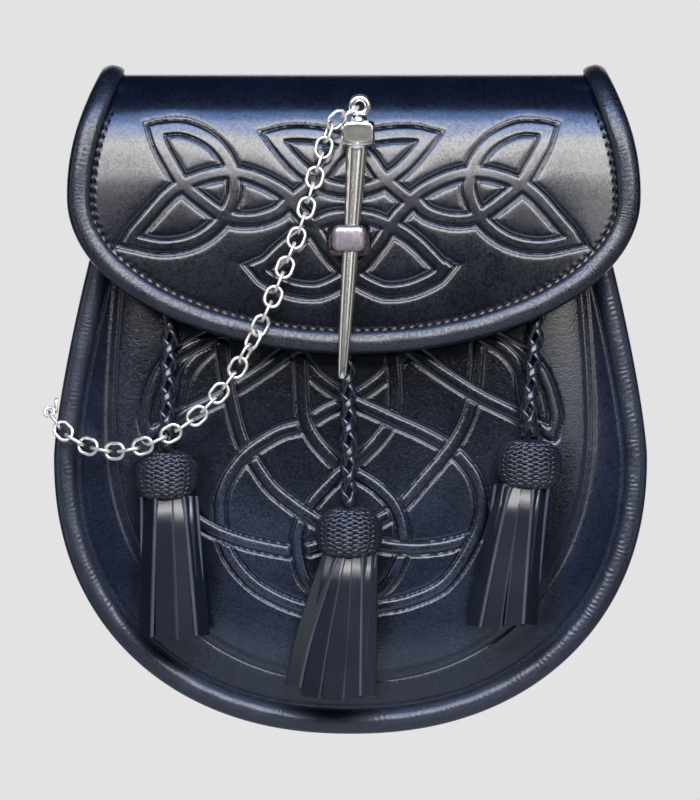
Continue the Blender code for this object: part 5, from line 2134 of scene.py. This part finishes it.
@dataclass
class Tassel:
    """Braided cord, woven cap and skirt of strips."""

    side: str
    route: Line
    cap_at: tuple[float, float, float]
    cap_size: tuple[float, float]
    skirt_x: float
    skirt_end: tuple[float, float]
    strips: Sequence[Strip]
    cord_radius: float = 2.75
    braid_pace: float = 0.42
    cap_depth: float = 14.0
    cap_section: Line = ((1.0, 0.34), (0.84, 0.68), (0.45, 0.95), (0.0, 1.0), (-0.45, 0.96),
                         (-0.84, 0.8), (-1.0, 0.62))
    weave: int = 17
    strip_width: float = 6.5
    strip_wall: float = 1.3
    cord_step: float = 0.35
    cord_lace: tuple[float, float] = (2.5, 1.3)
    lace_in: float = 1.15
    braid_lift: float = 0.42
    cap_lace: tuple[float, float] = (0.8, 0.7)
    cap_rows: int = 46
    cap_half_turns: float = 1.15
    cap_pair: float = 0.425
    cap_lift: float = 0.34
    core_in: float = 1.3
    core_sides: int = 40
    strip_rows: int = 22
    tucked: float = 1.2

    def build_cord(self) -> bpy.types.Object:
        """Braids the cord from four flat laces, two to the left and two to the right.

        Returns:
            The cord.
        """
        line = smooth_line(self.route)
        length = travelled(line)[-1]
        line = evenly(line, int(length / self.cord_step))
        s = travelled(line)
        along = unit(np.gradient(line, axis=0))
        across = unit(np.cross(along, (0.0, -1.0, 0.0)))
        away = np.cross(across, along)
        lines, facing = [], []
        wave = np.cos(2 * self.braid_pace * s)
        for hand in (1.0, -1.0):
            for start in (0.0, math.pi):
                angle = hand * self.braid_pace * s + start
                out = across * np.cos(angle)[:, None] + away * np.sin(angle)[:, None]
                reach = self.cord_radius - self.lace_in + hand * self.braid_lift * wave
                lines.append(line + out * reach[:, None])
                facing.append(out)
        cord = make_path(f"tassel_cord_{self.side}_braided", *lines, marks={"facing": facing})
        width, wall = self.cord_lace
        grow(cord, flat_laces, {"Width": width * MM, "Thickness": wall * MM, "Around": 10,
                                "Edge": 0.05}, LACE)
        cord.data.name = cord.name
        fit_out(cord, LACE, "lace_leather", f"tassel_cord_{self.side}")
        return cord

    def build_cap(self) -> bpy.types.Object:
        """Weaves the cap from paired laces over a core painted dark as shade between the laces.

        Returns:
            The cap with its core.
        """
        middle, (width, height) = np.array(self.cap_at), self.cap_size
        rise, reach = smooth_line(self.cap_section, 6).T
        up = np.linspace(1.0, -1.0, self.cap_rows)
        share = np.interp(-up, -rise, reach)
        lines, facing = [], []
        count = self.weave
        course = np.linspace(0.0, 1.0, len(up)) * self.cap_half_turns * math.pi
        wave = np.cos(count * course)
        for hand in (1.0, -1.0):
            for k in range(count):
                for pair in (-self.cap_pair, self.cap_pair):
                    turn = hand * course + 2 * math.pi * k / count + 0.3
                    turn = turn + pair / (share * width / 2)
                    out = np.column_stack([np.cos(turn), np.sin(turn), np.zeros(len(up))])
                    size = np.column_stack([share * width / 2 - 0.7,
                                            share * self.cap_depth / 2 - 0.7,
                                            np.zeros(len(up))])
                    place = middle + out * (size + hand * self.cap_lift * wave[:, None])
                    place[:, 2] += up * (height / 2 - 0.4)
                    lines.append(place)
                    facing.append(out + np.outer(up ** 3, (0.0, 0.0, 0.9)))
        cap = make_path(f"tassel_cap_{self.side}_woven", *lines, marks={"facing": facing})
        lace, wall = self.cap_lace
        grow(cap, flat_laces, {"Width": lace * MM, "Thickness": wall * MM, "Around": 7,
                               "Edge": 0.06}, LACE)
        core = self.core(middle, width / 2 - self.core_in, self.cap_depth / 2 - self.core_in,
                         height / 2 - 0.8, np.column_stack([rise, reach]))
        merge(cap, core)
        fit_out(cap, LACE, "lace_leather", f"tassel_knot_{self.side}")
        return cap

    def core(self, middle: np.ndarray, half_x: float, half_y: float, half_z: float,
             section: np.ndarray) -> bpy.types.Object:
        """Makes the rounded core that the cap is woven over.

        Args:
            middle: Middle of the cap.
            half_x: Half the core's width.
            half_y: Half its depth.
            half_z: Half its height.
            section: (rise, share) rows down its side.

        Returns:
            The core.
        """
        wheel = circle(self.core_sides).T * (half_x, half_y)
        rings = [np.column_stack([middle[:2] + wheel * share,
                                  np.full(self.core_sides, middle[2] + rise * half_z)])
                 for rise, share in section]
        points, faces = tube(np.stack(rings))
        # painted shade: the core is darkened all over where it shows between the laces
        return make_mesh("core", points, faces, {"sunk": np.ones(len(points))})

    def build_skirt(self) -> bpy.types.Object:
        """Hangs the strips of leather under the cap.

        Returns:
            The skirt.
        """
        end_x, end_z = self.skirt_end
        start_z = self.cap_at[2] - self.cap_size[1] / 2 + self.tucked
        share = np.linspace(0.0, 1.0, self.strip_rows)
        lines, facing = [], []
        for strip in self.strips:
            x0, x1 = self.skirt_x + strip.top, end_x + strip.end
            x = x0 + (x1 - x0) * share ** 0.9 + strip.swing * np.sin(math.pi * share) * share
            turn = math.radians(strip.turn)
            hang = strip.depth * (0.6 + 0.4 * eased(share * 5.5))
            lines.append(np.column_stack([x, self.cap_at[1] + hang, start_z
                                          + (end_z + strip.drop - start_z) * share]))
            facing.append(np.tile((math.sin(turn), -math.cos(turn), 0.0), (len(share), 1)))
        skirt = make_path(f"tassel_skirt_{self.side}_strips", *lines, marks={"facing": facing})
        grow(skirt, flat_laces, {"Width": self.strip_width * MM,
                                 "Thickness": self.strip_wall * MM, "Around": 56,
                                 "Edge": 1.0}, LACE)
        fit_out(skirt, LACE, "lace_leather", f"tassel_skirt_{self.side}")
        return skirt

    def build(self) -> None:
        """Builds the tassel's cord, cap and skirt."""
        cord, cap, skirt = self.build_cord(), self.build_cap(), self.build_skirt()


def merge(piece: bpy.types.Object, other: bpy.types.Object) -> None:
    """Puts another piece's mesh into a piece.

    Args:
        piece: The piece.
        other: The piece whose mesh is put in.
    """
    builder = bmesh.new()
    builder.from_mesh(piece.data)
    builder.from_mesh(other.data)
    builder.to_mesh(piece.data)
    builder.free()
    bpy.data.objects.remove(other)


LEFT_STRIPS: Sequence[Strip] = (
    Strip(-5.6, -7.8, -1.9, -52.0, 0.6), Strip(-2.2, -1.6, -3.5, -9.0, 0.0),
    Strip(4.0, 4.7, -3.3, 14.0, -0.5, 0.2), Strip(6.1, 9.0, -1.6, 54.0, 0.9),
    Strip(-6.3, -6.9, 2.2, -130.0, 1.4), Strip(-2.2, -3.2, 3.4, 176.0, 0.8),
    Strip(3.4, 3.2, 3.5, 184.0, 1.6), Strip(6.4, 8.0, 2.0, 130.0, 1.0))
RIGHT_STRIPS: Sequence[Strip] = (
    Strip(-5.2, -9.2, -1.8, -50.0, 0.2), Strip(-2.6, -4.2, -3.4, -15.0, -0.6, -0.2),
    Strip(2.7, 3.0, -3.5, 8.0, 0.2), Strip(5.4, 7.4, -1.9, 48.0, 0.6),
    Strip(-6.0, -6.4, 2.2, -130.0, 1.2), Strip(-2.4, -2.0, 3.4, 178.0, 0.5),
    Strip(3.0, 3.9, 3.4, 184.0, 1.4), Strip(6.2, 7.2, 2.0, 128.0, 0.8))
CENTRE_STRIPS: Sequence[Strip] = (
    Strip(-5.6, -12.6, -1.6, -44.0, 3.4, -1.2), Strip(-4.2, -7.6, -3.3, -20.0, 0.2, -0.4),
    Strip(-0.6, -1.0, -3.6, -6.0, -0.9), Strip(3.6, 5.4, -3.4, 12.0, -0.3),
    Strip(5.6, 9.6, -1.8, 42.0, 0.5), Strip(-5.0, -8.6, 2.2, -135.0, 1.5),
    Strip(-1.8, -3.8, 3.4, 176.0, 0.3), Strip(2.6, 2.6, 3.5, 184.0, 0.9),
    Strip(5.4, 8.0, 2.1, 135.0, 0.6))
TASSELS: Sequence[Tassel] = (
    Tassel("left", ((-53.6, -36.9, -31.4), (-53.9, -37.8, -43.0), (-54.3, -39.3, -54.5),
                    (-54.8, -42.5, -66.0), (-55.2, -45.2, -77.0), (-55.2, -45.2, -86.6)),
           (-55.2, -45.2, -94.5), (18.9, 15.0), -54.4, (-53.4, -143.4),
           LEFT_STRIPS),
    Tassel("centre", ((-1.2, -38.9, -40.4), (-1.1, -39.4, -52.0), (-0.9, -40.4, -64.0),
                      (-0.7, -42.6, -76.0), (-0.5, -45.6, -86.5), (-0.45, -46.7, -95.0),
                      (-0.45, -46.7, -103.6)),
           (-0.45, -46.7, -111.7), (20.4, 15.3), 0.0, (-4.5, -161.0),
           CENTRE_STRIPS),
    Tassel("right", ((56.4, -36.6, -31.4), (56.0, -37.6, -42.0), (55.3, -39.1, -53.0),
                     (54.4, -42.4, -64.0), (53.6, -45.2, -74.5), (53.6, -45.2, -83.3)),
           (53.6, -45.2, -91.2), (19.8, 15.0), 51.3, (46.2, -139.8),
           RIGHT_STRIPS))


# ---- studio -------------------------------------------------------------------------------
@dataclass
class Studio:
    """Camera at the photograph's angle, soft lights, a pale floor and a pale background."""

    centre: tuple[float, float, float] = (-0.15, -36.0, -72.0)
    frame_height: float = 240.0
    distance: float = 5000.0
    floor_z: float = -900.0
    floor_radius: float = 4000.0
    backdrop: float = 0.768

    def aim_camera(self) -> None:
        """Sets the camera square to the front."""
        data = bpy.data.cameras.new("camera")
        data.sensor_width = 36.0
        data.lens = 36.0 * self.distance / self.frame_height
        data.clip_start, data.clip_end = 0.05, 20.0
        camera = placed("camera", data)
        x, y, z = self.centre
        camera.location = Vector((x, y - self.distance, z)) * MM
        camera.rotation_euler = (math.pi / 2, 0.0, 0.0)
        bpy.context.scene.camera = camera

    def softbox(self, name: str, elevation: float, azimuth: float, size: tuple[float, float],
                power: float, tint: Colour = (1.0, 1.0, 1.0), distance: float = 1.2) -> None:
        """Hangs a soft light that faces the pouch.

        Args:
            name: Name of the light.
            elevation: Degrees above the horizon.
            azimuth: Degrees to the right of the front.
            size: Width and height in metres.
            power: Watts.
            tint: Colour of the light.
            distance: Metres from the pouch.
        """
        light = bpy.data.lights.new(name, "AREA")
        light.shape, light.size, light.size_y = "RECTANGLE", *size
        light.energy, light.color = power, tint
        lamp = placed(name, light)
        up, turn = math.radians(elevation), math.radians(azimuth)
        away = Vector((math.sin(turn) * math.cos(up), -math.cos(turn) * math.cos(up),
                       math.sin(up)))
        lamp.location = Vector(self.centre) * MM + away * distance
        lamp.rotation_euler = away.to_track_quat("Z", "Y").to_euler()
        lamp.visible_camera = False

    def light(self) -> None:
        """Hangs the soft lights and makes the pale surroundings."""
        self.softbox("key_soft", 28.0, 2.0, (1.5, 0.32), 17.0, (1.0, 0.97, 0.94))
        self.softbox("upper_soft", 42.5, 0.0, (1.5, 0.28), 13.5, (0.57, 0.69, 1.0))
        self.softbox("top_soft", 55.0, 0.0, (1.5, 0.26), 7.0, (0.27, 0.47, 1.0))
        self.softbox("right_low", 15.0, 27.0, (0.4, 0.3), 1.05)
        self.softbox("front_low", -24.0, 0.0, (1.2, 0.35), 1.6, (0.66, 0.82, 1.0))
        self.softbox("right_soft", 6.0, 76.0, (0.4, 1.3), 0.85)
        self.softbox("left_soft", 6.0, -76.0, (0.4, 1.3), 1.5)
        self.softbox("back_soft", 4.0, 180.0, (1.2, 1.2), 5.0)
        scene = bpy.context.scene
        scene.world = bpy.data.worlds.new("studio")
        scene.world.use_nodes = True
        scene.view_settings.view_transform = "Standard"
        board = Board(scene.world.node_tree)
        course = board.put("ShaderNodeTexCoord").outputs["Generated"]
        split = board.put("ShaderNodeSeparateXYZ", {0: course})
        front = board.range(board.sum("MULTIPLY", split.outputs[1], -1.0), -0.2, 0.9, 0.02, 0.10)
        low = board.range(split.outputs[2], -0.9, 0.1, 0.35, 1.0)
        dim = board.put("ShaderNodeBackground",
                        {"Color": (0.66, 0.80, 1.0, 1.0), "Strength": board.sum(
                            "MULTIPLY", front, low)})
        pale = board.put("ShaderNodeBackground", {"Color": (*(self.backdrop,) * 3, 1.0),
                                                  "Strength": 1.0})
        board.for_camera(dim, pale, "World Output")

    def lay_floor(self) -> None:
        """Lays the pale floor."""
        x, y = self.floor_radius * circle(96)
        points = np.column_stack([x, y, np.full(len(x), self.floor_z)])
        floor = make_mesh("floor", points, [list(range(len(points)))], turn_out=False)
        material = bpy.data.materials.new("pale_floor")
        material.use_nodes = True
        board = Board(material.node_tree)
        shader = material.node_tree.nodes["Principled BSDF"]
        place = board.put("ShaderNodeTexCoord").outputs["Object"]
        tone = board.mix(board.noise(place, 3.0), (0.70, 0.70, 0.70, 1.0),
                         (0.76, 0.76, 0.76, 1.0))
        board.join(shader, {"Base Color": tone})
        shader.inputs["Roughness"].default_value = 0.7
        pale = board.put("ShaderNodeEmission", {"Color": tone, "Strength": 0.95})
        board.for_camera(shader, pale, "Material Output")
        floor.data.materials.append(material)


CHANNEL: Line = (
    (0.0, -2.4), (-0.3, -4.1), (-2.9, -4.1), (-2.9, -2.7), (-1.8, -2.7), (-1.8, 0.3))
FRONT_PROFILE: Line = (
    (-6.7, 0.3), (-6.7, 1.1), (-5.6, 2.3), (-3.9, 2.9), (-2.1, 2.6), (-0.5, 1.5), (0.0, 0.0),
    *CHANNEL)
BACK_PROFILE: Line = (
    (-8.0, 0.3), (-8.0, 0.9), (-6.0, 1.7), (-3.0, 2.0), (-0.6, 1.2), (0.0, 0.0), *CHANNEL)


def main() -> None:
    """Builds the studio and every piece of the pouch, in order."""
    logging.basicConfig(level=logging.INFO, format="%(message)s")
    studio = Studio()
    studio.aim_camera()
    studio.light()
    studio.lay_floor()
    for tassel in TASSELS:
        tassel.build()
    FrontPanel().build()
    SideWall().build()
    BackPanel().build()
    BodyEdging(Side.FRONT, FRONT_PROFILE, 1501, gathers=0.4).build()
    BodyEdging(Side.BACK, BACK_PROFILE, 501).build()
    StrapLoop("left", -45.0).build()
    StrapLoop("right", 45.0).build()
    Flap().build()
    FlapEdging().build()
    closure = Closure()
    closure.build_post()
    closure.build_pin()
    closure.build_ring()
    Chain().build()


if __name__ == "__main__":
    main()
